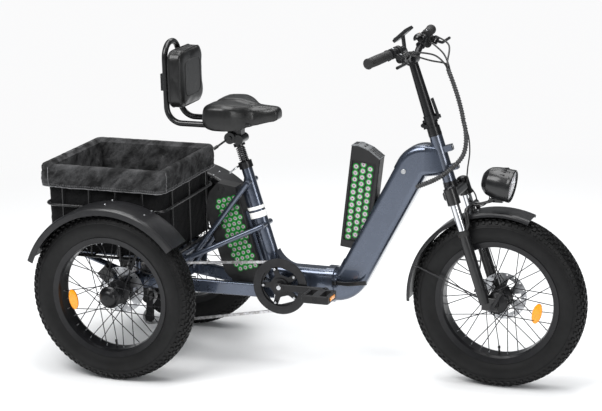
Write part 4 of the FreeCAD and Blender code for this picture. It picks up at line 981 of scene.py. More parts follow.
def smooth_faces(item):
    item.data.polygons.foreach_set("use_smooth", [True] * len(item.data.polygons))
    item.data.update()


def finish_cushion(item, node):
    """Round off a swollen cushion, cover it in leather and let it stand for a CAD node."""
    modifier = item.modifiers.new("round", "SUBSURF")
    modifier.levels = 1
    modifier.render_levels = 1
    apply_modifier(item, modifier)
    smooth_faces(item)
    dress(item, LOOKS["leather"])
    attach(item, "saddle")
    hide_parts(node)


def nearest_on(item, points, lift):
    """Carry points onto a mesh's surface, lifted along its normal."""
    tree = BVHTree.FromObject(item, bpy.context.evaluated_depsgraph_get())
    out = []
    for point in points:
        spot, normal, _, _ = tree.find_nearest(Vector(point) * MM)
        out.append(tuple((spot + normal * lift * MM) / MM))
    return out


SADDLE_PLAN = ((-378, 58), (-375, 88), (-366, 105), (-350, 115), (-320, 118.5), (-284, 117), (-262, 107),
               (-240, 90), (-222, 68), (-205, 51), (-185, 40), (-160, 33), (-140, 30), (-129, 26),
               (-126.5, 18))
SADDLE_TOP = ((-378, 890), (-370, 907), (-355, 914), (-330, 917), (-290, 918), (-268, 915), (-240, 908),
              (-215, 904), (-190, 903), (-160, 902), (-140, 902), (-131, 898), (-126.5, 889))
SADDLE_LOW = ((-378, 852), (-360, 838), (-335, 831), (-290, 830), (-250, 831), (-220, 837), (-190, 844),
              (-160, 851), (-135, 856), (-126.5, 864))


def read_curve(table, x):
    xs = [row[0] for row in table]
    return float(np.interp(x, xs, [row[1] for row in table]))


def saddle_section(x):
    """Outline across the saddle: underside recess, skirt, and the crowned top."""
    half = read_curve(SADDLE_PLAN, x)
    top = read_curve(SADDLE_TOP, x)
    low = read_curve(SADDLE_LOW, x)
    hollow = 856.5 if x < -192 else low + 2
    rear = max(0.0, min(1.0, (-205 - x) / 55)) * max(0.0, min(1.0, (x + 374) / 25))
    soft = min(26.0, half * 0.5)
    right = [(half * share * 0.86, max(hollow, low + 1)) for share in (0.0, 0.45, 0.8)]
    right.append((half - min(13, half * 0.3), low + 2.5))
    right.append((half - min(8, half * 0.2), low))
    right.append((half - min(3, half * 0.1), low + 3))
    for lift in (0.2, 0.42, 0.62):
        bulge = 1.0 + 0.012 * math.sin(lift * 3)
        right.append((half * bulge, low + (top - soft * 0.8 - low) * (lift + 0.15)))
    for turn in (18, 38, 58, 76):
        a = math.radians(turn)
        right.append((half - soft + soft * math.cos(a), top - soft * 0.8 + soft * 0.8 * math.sin(a)))
    for share in (0.72, 0.56, 0.42, 0.28, 0.16, 0.07, 0.0):
        y = (half - soft) * share / 0.78
        valley = -15.0 * math.exp(-(y / 10.0) ** 2) * rear
        right.append((y, top + valley + 0.8 * (1 - share)))
    left = [(-y, z) for y, z in right[1:-1]][::-1]
    return right + left


def make_saddle():
    xs = [-378, -376.5, -373, -367, -358, -346, -332, -318, -304, -290, -276, -262, -248, -234, -220, -206,
          -192, -178, -164, -150, -140, -133, -129, -126.5]
    rings = [saddle_section(x) for x in xs]
    size = len(rings[0])
    points = [(x, y, z) for x, ring in zip(xs, rings) for y, z in ring]
    faces = quads(size, len(xs)) + ends(size, len(xs))
    item = Soup().add((points, faces)).piece("saddle_cover", "leather", slot="leather")

    def free(rest):
        return np.clip((rest[:, 2] - 862) / 22, 0, 1) * np.clip((-rest[:, 0] - 130) / 25, 0, 1)

    inflate(item, 2.5, free, 0.004, 2.5)
    finish_cushion(item, "saddle_cushion")
    seams = Soup()
    for side in (-1, 1):
        outer = []
        for x in np.linspace(-352, -212, 22):
            inset = 20 + 8 * ((x + 290) / 80) ** 2
            outer.append((x, side * (read_curve(SADDLE_PLAN, x) - inset), read_curve(SADDLE_TOP, x) + 8))
        seams.add(sweep_tube(nearest_on(item, smooth_path(outer), 0.1), 1.1, 8))
        inner = [(x, side * 12, read_curve(SADDLE_TOP, x) + 8) for x in np.linspace(-345, -215, 18)]
        seams.add(sweep_tube(nearest_on(item, smooth_path(inner), 0.1), 1.0, 8))
    seams.piece("saddle_seams", "leather", "saddle", "leather")


def make_spring():
    """The coil under the saddle."""
    low, high, turns = 21, 68, 7
    path = []
    for share in np.arange(turns * 20 + 1) / (turns * 20):
        angle = 2 * math.pi * turns * share
        height = low + (high - low) * share
        path.append(SEAT @ Vector((14.4 * math.cos(angle), 14.4 * math.sin(angle), height)))
    item = Soup().add(sweep_tube(path, 2.2, 10)).piece("seat_coil", "spring_steel", "seat_post", "steel")
    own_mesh(item)
    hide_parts("seat_spring")


def rounded(half_a, half_b, corner, turn_step):
    """Closed rounded rectangle as rows of (a, b, outward a, outward b)."""
    rows = []
    for a, b, start in ((1, 1, 0), (-1, 1, 90), (-1, -1, 180), (1, -1, 270)):
        for turn in range(0, 91, turn_step):
            angle = math.radians(start + turn)
            rows.append((a * (half_a - corner) + corner * math.cos(angle),
                         b * (half_b - corner) + corner * math.sin(angle), math.cos(angle), math.sin(angle)))
    return rows


def make_backrest():
    middle = Vector((-470, 0, 994))
    levels = ((-26, 0.90), (-24, 0.96), (-17, 1.0), (15, 1.0), (21, 0.97), (23.5, 0.88))
    points = []
    for x, tight in levels:
        reach = 0.55 + 0.45 * tight
        outline = rounded(98.5 * reach, 99.5 * reach, 36, 10)
        points += [(x, row[0], row[1]) for row in outline]
    faces = ends(len(outline), len(levels)) + quads(len(outline), len(levels))
    soup = Soup().add((points, faces), Matrix.Translation(middle))
    item = soup.piece("backrest_cover", "leather", slot="leather")

    def free(rest):
        return np.clip((rest[:, 0] + 492) / 10, 0, 1)

    inflate(item, 4, free, 0.005, 4)
    finish_cushion(item, "backrest_cushion")
    piping = Soup()
    for x, half_y, half_z, corner, lift, thick in ((-451, 98, 99, 36, 0.5, 1.7),
                                                   (-487, 99, 100, 36, 0.5, 1.7),
                                                   (-446, 62, 62, 26, 0.3, 1.1)):
        loop = [(x, row[0], middle.z + row[1]) for row in rounded(half_y, half_z, corner, 10)]
        piping.add(sweep_tube(nearest_on(item, loop, lift), thick, 8, closed=True))
    piping.piece("backrest_piping", "leather", "saddle", "leather")


# ---------------------------------------------------------------------------
# Basket
# ---------------------------------------------------------------------------
BASKET_X = -699
BASKET_HALF = (232, 226)
CLOTH_STEP = 7.0


def basket_line(inset, corner):
    """Level rounded rectangle as (x, y, outward x, outward y), evenly stepped."""
    raw = rounded(BASKET_HALF[0] - inset, BASKET_HALF[1] - inset, corner, 6)
    raw.append(raw[0])
    out = []
    for first, second in zip(raw, raw[1:]):
        length = math.hypot(second[0] - first[0], second[1] - first[1])
        pieces = max(1, int(length / CLOTH_STEP))
        for part in range(pieces):
            t = part / pieces
            row = [u + (v - u) * t for u, v in zip(first, second)]
            n = math.hypot(row[2], row[3])
            out.append((BASKET_X + row[0], row[1], row[2] / n, row[3] / n))
    return out


def crumple(x, y, z, size, seed):
    """Soft folds: ridges that run on a slant."""
    across = (x + y - z) / (size * 0.36)
    along = (x + y + z) / (size * 1.5)
    ridge = 1 - abs(noise.noise(Vector((across, along, seed)))) * 2.6
    small = noise.noise(Vector((across * 2.3, along * 2.3, seed + 5)))
    return ridge * 0.75 + small * 0.5


def cuff_point(row, z, lift):
    x, y, nx, ny = row
    fold = crumple(x, y, z, 62, 4.0)
    free = min(1.0, max(0.0, (703 - z) / 30))
    reach = 2.4 + 4.6 * free * fold + lift
    return (x + nx * reach, y + ny * reach, z)


def cuff_foot(row):
    """Height of the cuff's hem: a gentle wave."""
    x, y = row[0], row[1]
    return 629 + 3.2 * noise.noise(Vector((x / 70, y / 70, 2.0)))


def make_liner():
    """The lining: a cuff turned down over the rim, inner walls, a floor and an outer skin."""
    cuff = basket_line(2.0, 26)
    points = cuff_rows(cuff, 16) + roll_rows(cuff) + inner_rows(cuff, 18)
    sheet("liner_sheet", "liner", points, quads(len(cuff), len(points) // len(cuff)), 1.6, 0)
    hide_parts("basket_liner")
    make_liner_floor()
    make_liner_skin()
    make_liner_stitching(cuff)


def sheet(name, look, points, faces, thickness_mm, offset):
    """A sheet of cloth with a thickness, fixed to the rear frame."""
    item = Soup().add((points, faces)).piece(name, look, slot="liner")
    modifier = item.modifiers.new("sheet", "SOLIDIFY")
    modifier.thickness = thickness_mm * MM
    modifier.offset = offset
    apply_modifier(item, modifier)
    smooth_faces(item)
    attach(item, "rear_frame")


def cuff_rows(cuff, rows):
    points = []
    for k in range(rows):
        share = k / (rows - 1)
        for row in cuff:
            foot = cuff_foot(row)
            points.append(cuff_point(row, foot + (698 - foot) * share, 0))
    return points


def roll_rows(cuff):
    """The cloth where it rolls over the rim."""
    points = []
    for inset, z in ((1.0, 703.5), (4.5, 706.5), (10.5, 707.5), (16.5, 705.5), (19.5, 700)):
        for x, y, nx, ny in cuff:
            lump = 0.9 * noise.noise(Vector((x / 22, y / 22, z / 22)))
            points.append((x - nx * inset, y - ny * inset, z + lump))
    return points


def inner_rows(cuff, rows):
    points = []
    for k in range(rows):
        z = 694 - (694 - 406) * k / (rows - 1)
        for x, y, nx, ny in cuff:
            fold = crumple(x, y, z, 105, 8.0) * min(1.0, (700 - z) / 60)
            reach = 20.5 + max(0.0, 5.0 + 9.0 * fold)
            points.append((x - nx * reach, y - ny * reach, z))
    return points


def make_liner_floor():
    columns, rows = 44, 46
    points = []
    for i in range(columns):
        for j in range(rows):
            x = BASKET_X - 204 + 408 * i / (columns - 1)
            y = -203 + 406 * j / (rows - 1)
            points.append((x, y, 404.5 + 1.6 * noise.noise(Vector((x / 60, y / 60, 0.5)))))
    faces = [(i * rows + j, (i + 1) * rows + j, (i + 1) * rows + j + 1, i * rows + j + 1)
             for i in range(columns - 1) for j in range(rows - 1)]
    sheet("liner_floor", "liner", points, faces, 2.0, 0)


def make_liner_skin():
    wall = basket_line(17.5, 24)
    rows = 22
    points = []
    for k in range(rows):
        z = 402 + (690 - 402) * k / (rows - 1)
        for x, y, nx, ny in wall:
            fold = max(0.0, crumple(x, y, z, 130, 12.0)) * 2.6
            points.append((x - nx * fold, y - ny * fold, z))
    sheet("liner_outer", "liner_dark", points, quads(len(wall), rows), 1.2, -1)


def make_liner_stitching(cuff):
    """Two rows of stitches along the cuff's hem, its rolled edge, and a seam at each corner."""
    stitches = Soup()
    for offset in (7.0, 10.5):
        for index, row in enumerate(cuff):
            following = cuff[(index + 1) % len(cuff)]
            start = Vector(cuff_point(row, cuff_foot(row) + offset, 1.1))
            end = Vector(cuff_point(following, cuff_foot(following) + offset, 1.1))
            stitches.add(sweep_tube([start.lerp(end, 0.1), start.lerp(end, 0.72)], 0.55, 5))
    hem = [cuff_point(row, cuff_foot(row) + 1.5, 0.6) for row in cuff]
    stitches.add(sweep_tube(hem, 1.5, 8, closed=True))
    stitches.piece("liner_stitching", "thread", "rear_frame")
    seams = Soup()
    for corner in (0.055, 0.306, 0.556, 0.805):
        row = cuff[int(corner * len(cuff))]
        seams.add(sweep_tube([cuff_point(row, z, 1.2) for z in np.linspace(634, 698, 14)], 1.2, 6))
    seams.piece("liner_corner_seams", "thread", "rear_frame")


def make_basket_joins():
    """Weld beads where the basket's bars cross."""
    soup = Soup()
    for z in (691, 566, 393):
        for x in (-150, -50, 50, 150):
            for side in (-1, 1):
                soup.add(torus(3.6, 1.1, 20, 8), aim((BASKET_X + x, side * 216, z + 6), (0, 0, 1)))
        for y in (-140, 0, 140):
            for side in (-1, 1):
                soup.add(torus(3.6, 1.1, 20, 8), aim((BASKET_X + side * 218, y, z + 6), (0, 0, 1)))
    soup.piece("basket_welds", "black_paint", "rear_frame", "black_paint")


# ---------------------------------------------------------------------------
# Batteries
# ---------------------------------------------------------------------------
def cell_cluster(name, spots, body, reach):
    """Round cells behind a window: pale faces in green sleeves.  Spots are (centre, outward)."""
    soup = Soup()
    inside = reach - 3.2
    face = lathe([(0, 0.9), (inside * 0.45, 0.9), (inside * 0.52, 0.4), (inside - 0.8, 0.5),
                  (inside, 0.0), (inside, -1.6), (0, -1.6)], 22, closed=False)
    sleeve = lathe([(inside + 0.1, -1.6), (inside + 0.1, 1.2), (inside + 0.6, 1.6), (reach - 0.2, 1.2),
                    (reach, -1.6)], 22)
    pole = lathe([(0, 1.5), (2.6, 1.4), (3.0, 0.8)], 16, closed=False)
    for centre, outward in spots:
        place = aim(centre, outward)
        soup.add(face, place, 0)
        soup.add(sleeve, place, 1)
        soup.add(pole, place, 2)
    soup.piece(name, ["cell_face", "cell_green", "cell_pole"], body, "black_plastic")


PACK_LOW = 78
PACK_TOP = PACK_LOW + 355


def make_front_pack():
    """Cells and trim of the pack that stands out of the down tube, in the pack's own frame."""
    spots = []
    for side in (-1, 1):
        for column, x in enumerate((-73.5, -48.5, -23.5)):
            for row in range(12):
                z = PACK_LOW + 38 + 22.4 * row + (11.2 if column % 2 else 0)
                if z < PACK_LOW + 296:
                    spots.append((PACK @ Vector((x, side * 25.0, z)), Vector((0, side, 0))))
    cell_cluster("front_pack_cells", spots, "front_battery", 11.0)
    window = Soup()
    back, ahead, low, high = -89, -8, PACK_LOW + 26, PACK_LOW + 303
    for y in (-27.9, 27.9):
        for x0, z0, x1, z1 in ((back, low, back, high), (ahead, low, ahead, high),
                               (back, low, ahead, low), (back, high, ahead, high)):
            window.bar(PACK @ Vector((x0, y, z0)), PACK @ Vector((x1, y, z1)), 1.6, 3.0, 0.5)
    window.piece("front_pack_window", "black_plastic", "front_battery", "black_plastic")
    outline = [(6, PACK_TOP - 32), (-36, PACK_TOP - 9), (-74, PACK_TOP), (-98, PACK_TOP - 4)]
    cap = Soup()
    for (x0, z0), (x1, z1) in zip(outline, outline[1:]):
        cap.bar(PACK @ Vector((x0, 0, z0 + 1.5)), PACK @ Vector((x1, 0, z1 + 1.5)), 55, 4, 1.2)
    cap.piece("front_pack_cap", "cap_grey", "front_battery", "black_plastic")
    ribs = Soup()
    for share in np.linspace(0.08, 0.92, 9):
        spot = (6 - 42 * share, 0, PACK_TOP - 28.6 + 23 * share)
        ribs.add(block(3.0, 48, 2.2, 0.5), PACK @ Matrix.Translation(spot))
    for y in (-10, 10):
        ribs.add(drum(5.2, 3.5, 0.8, 20), PACK @ aim((-56, y, PACK_TOP - 1.4), (0, 0, 1)))
    ribs.add(block(16, 30, 3, 1), PACK @ Matrix.Translation((-84, 0, PACK_TOP + 1.0)))
    ribs.piece("front_pack_ribs", "black_plastic", "front_battery", "black_plastic")


def make_rear_pack():
    spots = []
    for side in (-1, 1):
        for row in range(15):
            for column in range(4):
                x = -66 - 19.5 * column - (9.7 if row % 2 else 0)
                z = -92 - 17.5 * row
                if z < -350 + 0.2 * (x + 66):
                    continue
                spots.append((SEAT @ Vector((x, side * 29.6, z)), Vector((0, side, 0))))
    cell_cluster("rear_pack_cells", spots, "rear_battery", 9.6)
    trims = Soup()
    for side in (-1, 1):
        top = SEAT @ Vector((-55, side * 29.4, -80))
        foot = SEAT @ Vector((-55, side * 29.4, -386))
        trims.bar(top, foot, 1.6, 7, 0.6)
        trims.add(torus(11, 2.2, 32, 8), SEAT @ aim((-104, side * 29.5, -52), (0, 1, 0)))
    trims.piece("rear_pack_trim", "black_plastic", "rear_battery", "black_plastic")


# ---------------------------------------------------------------------------
# Lamp, controls and cables
# ---------------------------------------------------------------------------
def make_lamp():
    """Bowl, lights, bezel and pivot of the head lamp, which looks ten degrees down."""
    place = aim((629, 0, 691), (math.cos(math.radians(10)), 0, -math.sin(math.radians(10))))
    bowl = [(3, 31.5), (16, 31.8), (30, 33.5), (41, 38), (48.5, 45.5), (49.4, 45.5), (49.4, 31)]
    mirror = Soup().add(lathe(bowl, 64, closed=False), place)
    mirror.piece("lamp_reflector", "chrome", "fork_lower", "chrome")
    lights = Soup()
    for index in range(6):
        spot = polar(math.radians(60 * index), 24, 34.5)
        lights.add(drum(6.5, 3, 0.8, 20), place @ Matrix.Translation(spot))
    lights.add(drum(9, 3, 0.8, 24), place @ Matrix.Translation((0, 34.5, 0)))
    lights.piece("lamp_leds", "cell_face", "fork_lower")
    bezel = Soup()
    bezel.add(lathe([(50.2, 44), (50.2, 50), (52.4, 51.5), (54.6, 49), (54.8, 40), (54.0, 38)], 72), place)
    for index in range(7):
        out = polar(math.radians(90 + 14 * (index - 3)))
        bezel.bar(out * 42.0 + Vector((0, -30, 0)), out * 55.0 + Vector((0, 24, 0)), 3.0, 5.0, 0.8, place)
    bezel.piece("lamp_bezel", "gloss_black", "fork_lower", "gloss_black")
    knuckle = Soup().add(drum(4.6, 34, 1.2, 20), Matrix.Translation((620, 0, 633.5)))
    knuckle.piece("lamp_knuckle", "steel", "fork_lower", "steel")


def bar_point(side, y):
    """Centre of the handlebar's outer straight, in the steerer's frame."""
    share = (y - 110) / (335 - 110)
    return Vector((21 - 44 * share, side * (110 + 225 * share), 466 + 3 * share))


def make_grips():
    soup = Soup()
    for side in (-1, 1):
        path = []
        radii = []
        for y in np.linspace(213.5, 333, 92):
            path.append(HEAD @ bar_point(side, y))
            swell = 1.1 * math.sin(math.pi * (y - 213) / 120)
            radii.append(15.2 + swell + 0.5 * math.sin(y * 2 * math.pi / 5.2))
        soup.add(sweep_tube(path, radii, 28))
        for y, radius in ((212.5, 18), (335, 17.5)):
            spot = bar_point(side, y)
            along = bar_point(side, y + 1) - bar_point(side, y)
            soup.add(drum(radius, 4.4, 1.5, 32), HEAD @ aim(spot, along, (1, 0, 0)))
    item = soup.piece("grip_sleeves", "rubber", "stem", "rubber")
    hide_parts("grips")


def make_controls():
    soup = Soup()
    for side in (-1, 1):
        along = (bar_point(side, 200) - bar_point(side, 199)).normalized()
        for y, radius in ((178, 16.2), (190, 16.2), (142, 17.2), (156, 17.2)):
            soup.add(torus(radius, 1.2, 32, 8), HEAD @ aim(bar_point(side, y), along, (1, 0, 0)))
    soup.piece("control_beads", "black_plastic", "stem", "black_plastic")
    bright = Soup()
    for side in (-1, 1):
        perch = bar_point(side, 184)
        bright.add(drum(4.2, 3.2, 0.8, 16), HEAD @ aim(perch + Vector((8, 0, 15)), (0.45, 0, 0.9)))
        pivot = perch + Vector((0.72, 0, -0.69)) * 27
        spot = pivot + Vector((0.69, 0, 0.72)) * 12.4
        bright.add(drum(4.6, 2.4, 0.6, 16), HEAD @ aim(spot, (0.69, 0, 0.72)))
    bright.piece("control_screws", "steel", "stem", "steel")
    buttons = Soup()
    body = bar_point(1, 150) + Vector((-14, 0, 12))
    for index, look in enumerate((0, 0, 1)):
        spot = body + Vector((-1.5 - 2 * index, -7 + 7 * index, 1.5))
        buttons.add(drum(4.4, 4, 1.0, 18), HEAD @ aim(spot, (-0.75, 0, 0.65)), look)
    buttons.piece("control_buttons", ["cap_grey", "amber"], "stem")
    dome = Soup()
    spot = Vector((14, 82, 474))
    profile = [(0, 14), (7, 13), (13, 10), (17, 5.5), (19, 0), (19, -2.5), (17.2, -2.5)]
    dome.add(lathe(profile, 40, closed=False), HEAD @ aim(spot, (-0.25, 0.1, 0.95)))
    dome.piece("bell_dome", "gloss_black", "stem", "black_alloy")
    base = Soup()
    base.add(drum(8, 16, 1, 20), HEAD @ aim(spot + Vector((2, 0, -10)), (-0.25, 0.1, 0.95)))
    base.add(torus(13.0, 3.0, 32, 10), HEAD @ aim((12.5, 82, 446.5), (21, 68, 46), (1, 0, 0)))
    base.piece("bell_base", "black_plastic", "stem", "black_plastic")


def make_display():
    """Glass, bars of a generic read-out and three keys on the display's sloping face."""
    start = Vector((-11, -63.76, 496))
    end = Vector((46, -63.76, 521))
    ahead = (end - start).normalized()
    up = Vector((0, -1, 0)).cross(ahead).normalized()
    turn = Matrix((ahead, up.cross(ahead), up)).transposed().to_4x4()
    middle = (start + end) / 2 + up * 5.6
    glass = Soup().add(block(54, 54, 1.6, 0.7), HEAD @ (Matrix.Translation(middle + up * 0.4) @ turn))
    glass.piece("display_glass", "screen", "stem", "gloss_black")
    bars = Soup()
    for index in range(5):
        spot = middle + up * 1.3 + ahead * (-16 + 8 * index)
        bars.add(block(2.2, 8, 0.5, 0.2), HEAD @ (Matrix.Translation(spot) @ turn))
    bars.piece("display_bars", "cap_grey", "stem")
    keys = Soup()
    for index in range(3):
        spot = middle - ahead * 24 + Vector((0, -16 + 16 * index, 0)) + up * 1.2
        keys.add(block(7, 12, 2.2, 0.8), HEAD @ (Matrix.Translation(spot) @ turn))
    keys.piece("display_keys", "black_plastic", "stem", "black_plastic")


def bend(item):
    """Bake a piece's placement into its mesh; it is fixed to no body."""
    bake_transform(item)


def cable(name, points, radius, look, bodies):
    """A hose or cable.  Bodies is one name, which it is fixed to, or two names, and then it is fixed to
    neither.
    """
    item = Soup().add(sweep_tube(smooth_path(points), radius, 10)).piece(name, look)
    if isinstance(bodies, str):
        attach(item, bodies)
    else:
        bend(item)


def wrap(name, points, bodies, span):
    """A spiral binding wound round the bundle of cables."""
    path = smooth_path(points, 1.1)
    coil = []
    for index in range(1, len(path)):
        ahead = (path[index] - path[index - 1]).normalized()
        side = ahead.cross(Vector((0, 1, 0))).normalized()
        other = ahead.cross(side)
        angle = index * 0.82
        coil.append(path[index] + side * 7.2 * math.cos(angle) + other * 7.2 * math.sin(angle))
    bend(Soup().add(sweep_tube(coil, 1.7, 6)).piece(name, "cable_grey"))


def make_cables():
    """Control cables gather ahead of the stem, run down as one bundle and enter the down tube."""
    gather = Vector((467, -10, 1052))
    ways = [(side, y, dx, dz) for side in (-1, 1) for y, dx, dz in ((184, 30, -14), (150, 10, -26))]
    for index, (side, y, dx, dz) in enumerate(ways):
        root = HEAD @ (bar_point(side, y) + Vector((dx, -side * 6, dz)))
        swing = 30 if index % 2 == 0 else 16
        middle = root.lerp(gather, 0.5) + Vector((swing * 0.8, 0, swing))
        offset = Vector((-4 + 2.5 * index, -6 + 4 * index, 0))
        path = [root, root + Vector((16, -side * 26, 6)), middle, gather + offset + Vector((-8, 0, 26)),
                gather + offset * 0.6]
        cable("control_cable_%d" % index, path, 2.9, "cable", "stem")
    low = Vector((516, -12, 893))
    upper = [gather + Vector((-3, 0, 10)), gather, (481, -10, 1016), (496, -10, 972), (508, -11, 930), low]
    lower = [low, (523, -13, 862), (526, -17, 828), (523, -22, 798), (514, -27, 775), (494, -34, 750),
             (463, -38, 722), (430, -40, 700), (398, -38, 684), (362, -30, 668)]
    for name, path, bodies, span in (
            ("upper", upper, ("stem", "fork_upper"), (gather, low)),
            ("lower", lower, ("fork_upper", "front_frame"), ((524, -16, 850), (440, -38, 706)))):
        cable("cable_bundle_" + name, path, 6.6, "braid", bodies)
        wrap("cable_wrap_" + name, path, bodies, span)
    crown = HEAD @ Vector((34, 58, -30))
    slack = HEAD @ Vector((16, 94, -180))
    upper_hose = [(520, -14, 880), (528, 6, 838), (524, 34, 780), (512, 52, 720), crown]
    cable("front_hose_upper", upper_hose, 2.4, "cable", "fork_upper")
    lower_hose = [crown, HEAD @ Vector((40, 92, -90)), slack, HEAD @ Vector((-6, 90, -290)),
                  HEAD @ Vector((-22, 55, -352))]
    cable("front_hose_lower", lower_hose, 2.4, "cable", ("fork_upper", "fork_lower"))
    wire = [HEAD @ Vector((52, -14, -96)), (575, -10, 612), (592, -6, 622), (602, -4, 640), (598, -2, 656)]
    cable("lamp_wire", wire, 1.8, "cable", "fork_lower")
    for name, side in SIDES:
        path = [(x, side * y, z) for x, y, z in ((-628, 246, 366), (-600, 222, 372), (-560, 168, 330),
                                                 (-500, 104, 318), (-420, 86, 306))]
        cable("rear_hose_" + name, path, 2.4, "cable", "rear_frame")


# ---------------------------------------------------------------------------
# Frame details
# ---------------------------------------------------------------------------
BAND_SIDES = 64


def make_bands():
    """Two painted bands round the seat tube, which is oval."""
    soup = Soup()
    for low, high in ((-152, -141), (-181, -160)):
        points = []
        for grow, z in ((0.25, low), (0.9, low), (0.9, high), (0.25, high)):
            for step in range(BAND_SIDES):
                a = 2 * math.pi * step / BAND_SIDES
                points.append((-11 + (30 + grow) * math.cos(a), (22 + grow) * math.sin(a), z))
        soup.add((points, quads(BAND_SIDES, 4, wrap=True)), SEAT)
    soup.piece("seat_tube_bands", "white_band", "rear_frame")


def make_hardware():
    """Bolts, lock, quick release and fork trim."""
    bolts = Soup()
    for z in (42, 106):
        bolts.add(drum(7, 3, 0.8, 24), HEAD @ aim((45.6, 0, z), (1, 0, 0)))
    bolts.piece("carrier_bolts", "steel", "front_frame", "steel")
    lock = Soup()
    lock.add(drum(8.5, 3.2, 0.8, 28), Matrix.Translation((319, -39.2, 718)))
    lock.add(drum(5.0, 2.2, 0.6, 20), Matrix.Translation((319, -41.2, 718)))
    lock.piece("pack_lock", "bright_alloy", "front_frame", "bright_alloy")
    seat = Soup()
    seat.add(drum(3.4, 52, 0.8, 18), SEAT @ Matrix.Translation((-25, 0, 6)))
    seat.add(drum(6.2, 7, 1.0, 18), SEAT @ Matrix.Translation((-25, 24, 6)))
    for start, end in (((-25, -24, 6), (-34, -31, 2)), ((-34, -31, 2), (-52, -33, -6))):
        seat.bar(start, end, 8, 6, 1.5, SEAT)
    seat.piece("seat_quick_release", "bright_alloy", "rear_frame", "black_alloy")
    stem = Soup()
    for x in (-9, 9):
        for y in (-16, 16):
            stem.add(drum(3.2, 3, 0.8, 14), HEAD @ aim((x, y, 441), (0, 0, 1)))
    stem.piece("bar_clamp_bolts", "steel", "stem", "steel")
    make_fender_bolts()
    make_fork_trim()


def make_fender_bolts():
    rear = Soup()
    for _, side in SIDES:
        for angle in (66, 93):
            out = polar(math.radians(angle))
            for y in (side * 262, side * 318):
                rear.add(drum(4.2, 2.6, 0.9, 16), aim(Vector((REAR_AXLE_X, y, AXLE_Z)) + out * 316, out))
    rear.piece("fender_bolts", "steel", "rear_frame", "steel")
    front = Soup()
    for angle in (104, 112):
        out = polar(math.radians(angle))
        front.add(drum(4.4, 3.0, 0.9, 16), aim(FRONT_AXLE + out * 310.5, out))
    front.piece("front_fender_bolts", "steel", "fork_lower", "steel")


def make_fork_trim():
    """Caps on the crown and lip seals on the lower legs."""
    caps = Soup()
    seals = Soup()
    dome = lathe([(0, 9), (8, 8.4), (14, 6), (17.5, 2.5), (18.5, 0), (18.5, -3)], 32, closed=False)
    lip = lathe([(18.4, -178), (19.6, -176), (19.6, -163), (15.4, -163), (15.4, -158), (18.4, -170),
                 (17.2, -158)], 36)
    upright = Matrix.Rotation(math.pi / 2, 4, "X")
    for side in (-1, 1):
        caps.add(dome, HEAD @ aim((18, side * 72, -14), (0, 0, 1)))
        caps.add(torus(19.6, 1.6, 40, 8), HEAD @ aim((18, side * 72, -66), (0, 0, 1)))
        seals.add(lip, HEAD @ Matrix.Translation((18, side * 72, 0)) @ upright)
    caps.piece("crown_caps", "black_alloy", "fork_upper", "black_alloy")
    seals.piece("fork_seals", "rubber", "fork_lower", "rubber")


# ---------------------------------------------------------------------------
# Floor, light and camera
# ---------------------------------------------------------------------------
def make_stage():
    """A pale floor that fades into an even background, and soft boxes round the tricycle."""
    mesh = bpy.data.meshes.new("floor")
    reach = 40
    corners = [(-reach, -reach, 0), (reach, -reach, 0), (reach, reach, 0), (-reach, reach, 0)]
    mesh.from_pydata(corners, [], [(0, 1, 2, 3)])
    floor = bpy.data.objects.new("floor", mesh)
    bpy.context.scene.collection.objects.link(floor)
    floor.location.z = -0.0008
    look = Look("floor")
    look.colour(look.mix(look.ramp(look.noise(0.8, 2), 0.3, 0.7), (0.86, 0.86, 0.86), (0.88, 0.88, 0.88)))
    look.set(roughness=0.55, specular_ior_level=0.2)
    far = look.node("ShaderNodeVectorMath", operation="LENGTH")
    look.link(look.place, far.inputs[0])
    glow = look.node("ShaderNodeEmission")
    glow.inputs["Color"].default_value = BACKDROP
    blend = look.node("ShaderNodeMixShader")
    seen = look.node("ShaderNodeLightPath").outputs["Is Camera Ray"]
    look.link(look.math("MULTIPLY", look.ramp(far.outputs["Value"], 1.1, 3.4), seen), blend.inputs[0])
    look.link(look.shader.outputs[0], blend.inputs[1])
    look.link(glow.outputs[0], blend.inputs[2])
    look.link(blend.outputs[0], look.out.inputs[0])
    mesh.materials.append(look.material)
    make_world()
    for name, place, size, power, target in (
            ("key", (-1.4, -2.6, 3.6), (2.6, 2.0), 150, (0, 0, 0.5)),
            ("side", (3.8, -2.6, 1.9), (1.4, 2.2), 60, (0.3, 0, 0.5)),
            ("back", (-0.4, 3.0, 3.6), (3.6, 1.4), 45, (0, 0, 0.5)),
            ("top", (0.1, 0.1, 4.2), (3.4, 2.4), 150, (0, 0, 0.4))):
        data = bpy.data.lights.new(name, "AREA")
        data.shape = "RECTANGLE"
        data.size, data.size_y = size
        data.energy = power
        lamp = bpy.data.objects.new(name, data)
        bpy.context.scene.collection.objects.link(lamp)
        lamp.location = place
        lamp.rotation_euler = (Vector(target) - Vector(place)).to_track_quat("-Z", "Y").to_euler()
    bpy.context.scene.view_settings.view_transform = "Standard"


BACKDROP = (0.96, 0.96, 0.965, 1)


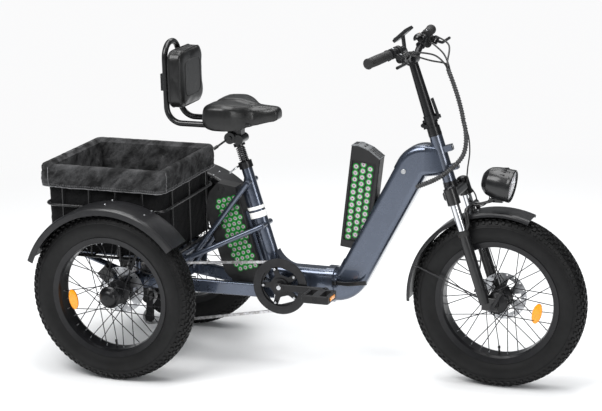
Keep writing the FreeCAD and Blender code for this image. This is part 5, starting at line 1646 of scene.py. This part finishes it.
def make_world():
    """An even pale background that lights the tricycle more softly than it looks."""
    world = bpy.data.worlds.new("studio")
    bpy.context.scene.world = world
    world.use_nodes = True
    tree = world.node_tree
    seen = tree.nodes["Background"]
    seen.inputs[0].default_value = BACKDROP
    lit = tree.nodes.new("ShaderNodeBackground")
    lit.inputs[0].default_value = (0.92, 0.96, 1.0, 1)
    path = tree.nodes.new("ShaderNodeLightPath")
    mirror = tree.nodes.new("ShaderNodeMapRange")
    mirror.inputs["To Min"].default_value = 0.42
    mirror.inputs["To Max"].default_value = 0.14
    tree.links.new(path.outputs["Is Glossy Ray"], mirror.inputs["Value"])
    tree.links.new(mirror.outputs[0], lit.inputs[1])
    blend = tree.nodes.new("ShaderNodeMixShader")
    tree.links.new(path.outputs["Is Camera Ray"], blend.inputs[0])
    tree.links.new(lit.outputs[0], blend.inputs[1])
    tree.links.new(seen.outputs[0], blend.inputs[2])
    tree.links.new(blend.outputs[0], tree.nodes["World Output"].inputs[0])


def make_camera():
    azimuth = math.radians(20.70)
    elevation = math.radians(14.69)
    roll = -0.0208
    back = Vector((math.sin(azimuth) * math.cos(elevation), -math.cos(azimuth) * math.cos(elevation),
                   math.sin(elevation)))
    right = Vector((math.cos(azimuth), math.sin(azimuth), 0))
    up = back.cross(right)
    across = right * math.cos(roll) + up * math.sin(roll)
    upward = up * math.cos(roll) - right * math.sin(roll)
    data = bpy.data.cameras.new("camera")
    data.lens = 112.0
    data.sensor_width = 36
    data.shift_x = -0.0142
    data.shift_y = 0.0017
    camera = bpy.data.objects.new("camera", data)
    bpy.context.scene.collection.objects.link(camera)
    camera.matrix_world = Matrix.Translation((2.1426, -5.7440, 2.1741)) @ Matrix(
        (across, upward, back)).transposed().to_4x4()
    bpy.context.scene.camera = camera


dress_frame()
make_wheels()
make_drive()
make_pedals()
make_saddle()
make_spring()
make_backrest()
make_liner()
make_basket_joins()
make_front_pack()
make_rear_pack()
make_lamp()
make_grips()
make_controls()
make_display()
make_cables()
make_bands()
make_hardware()
make_stage()
make_camera()
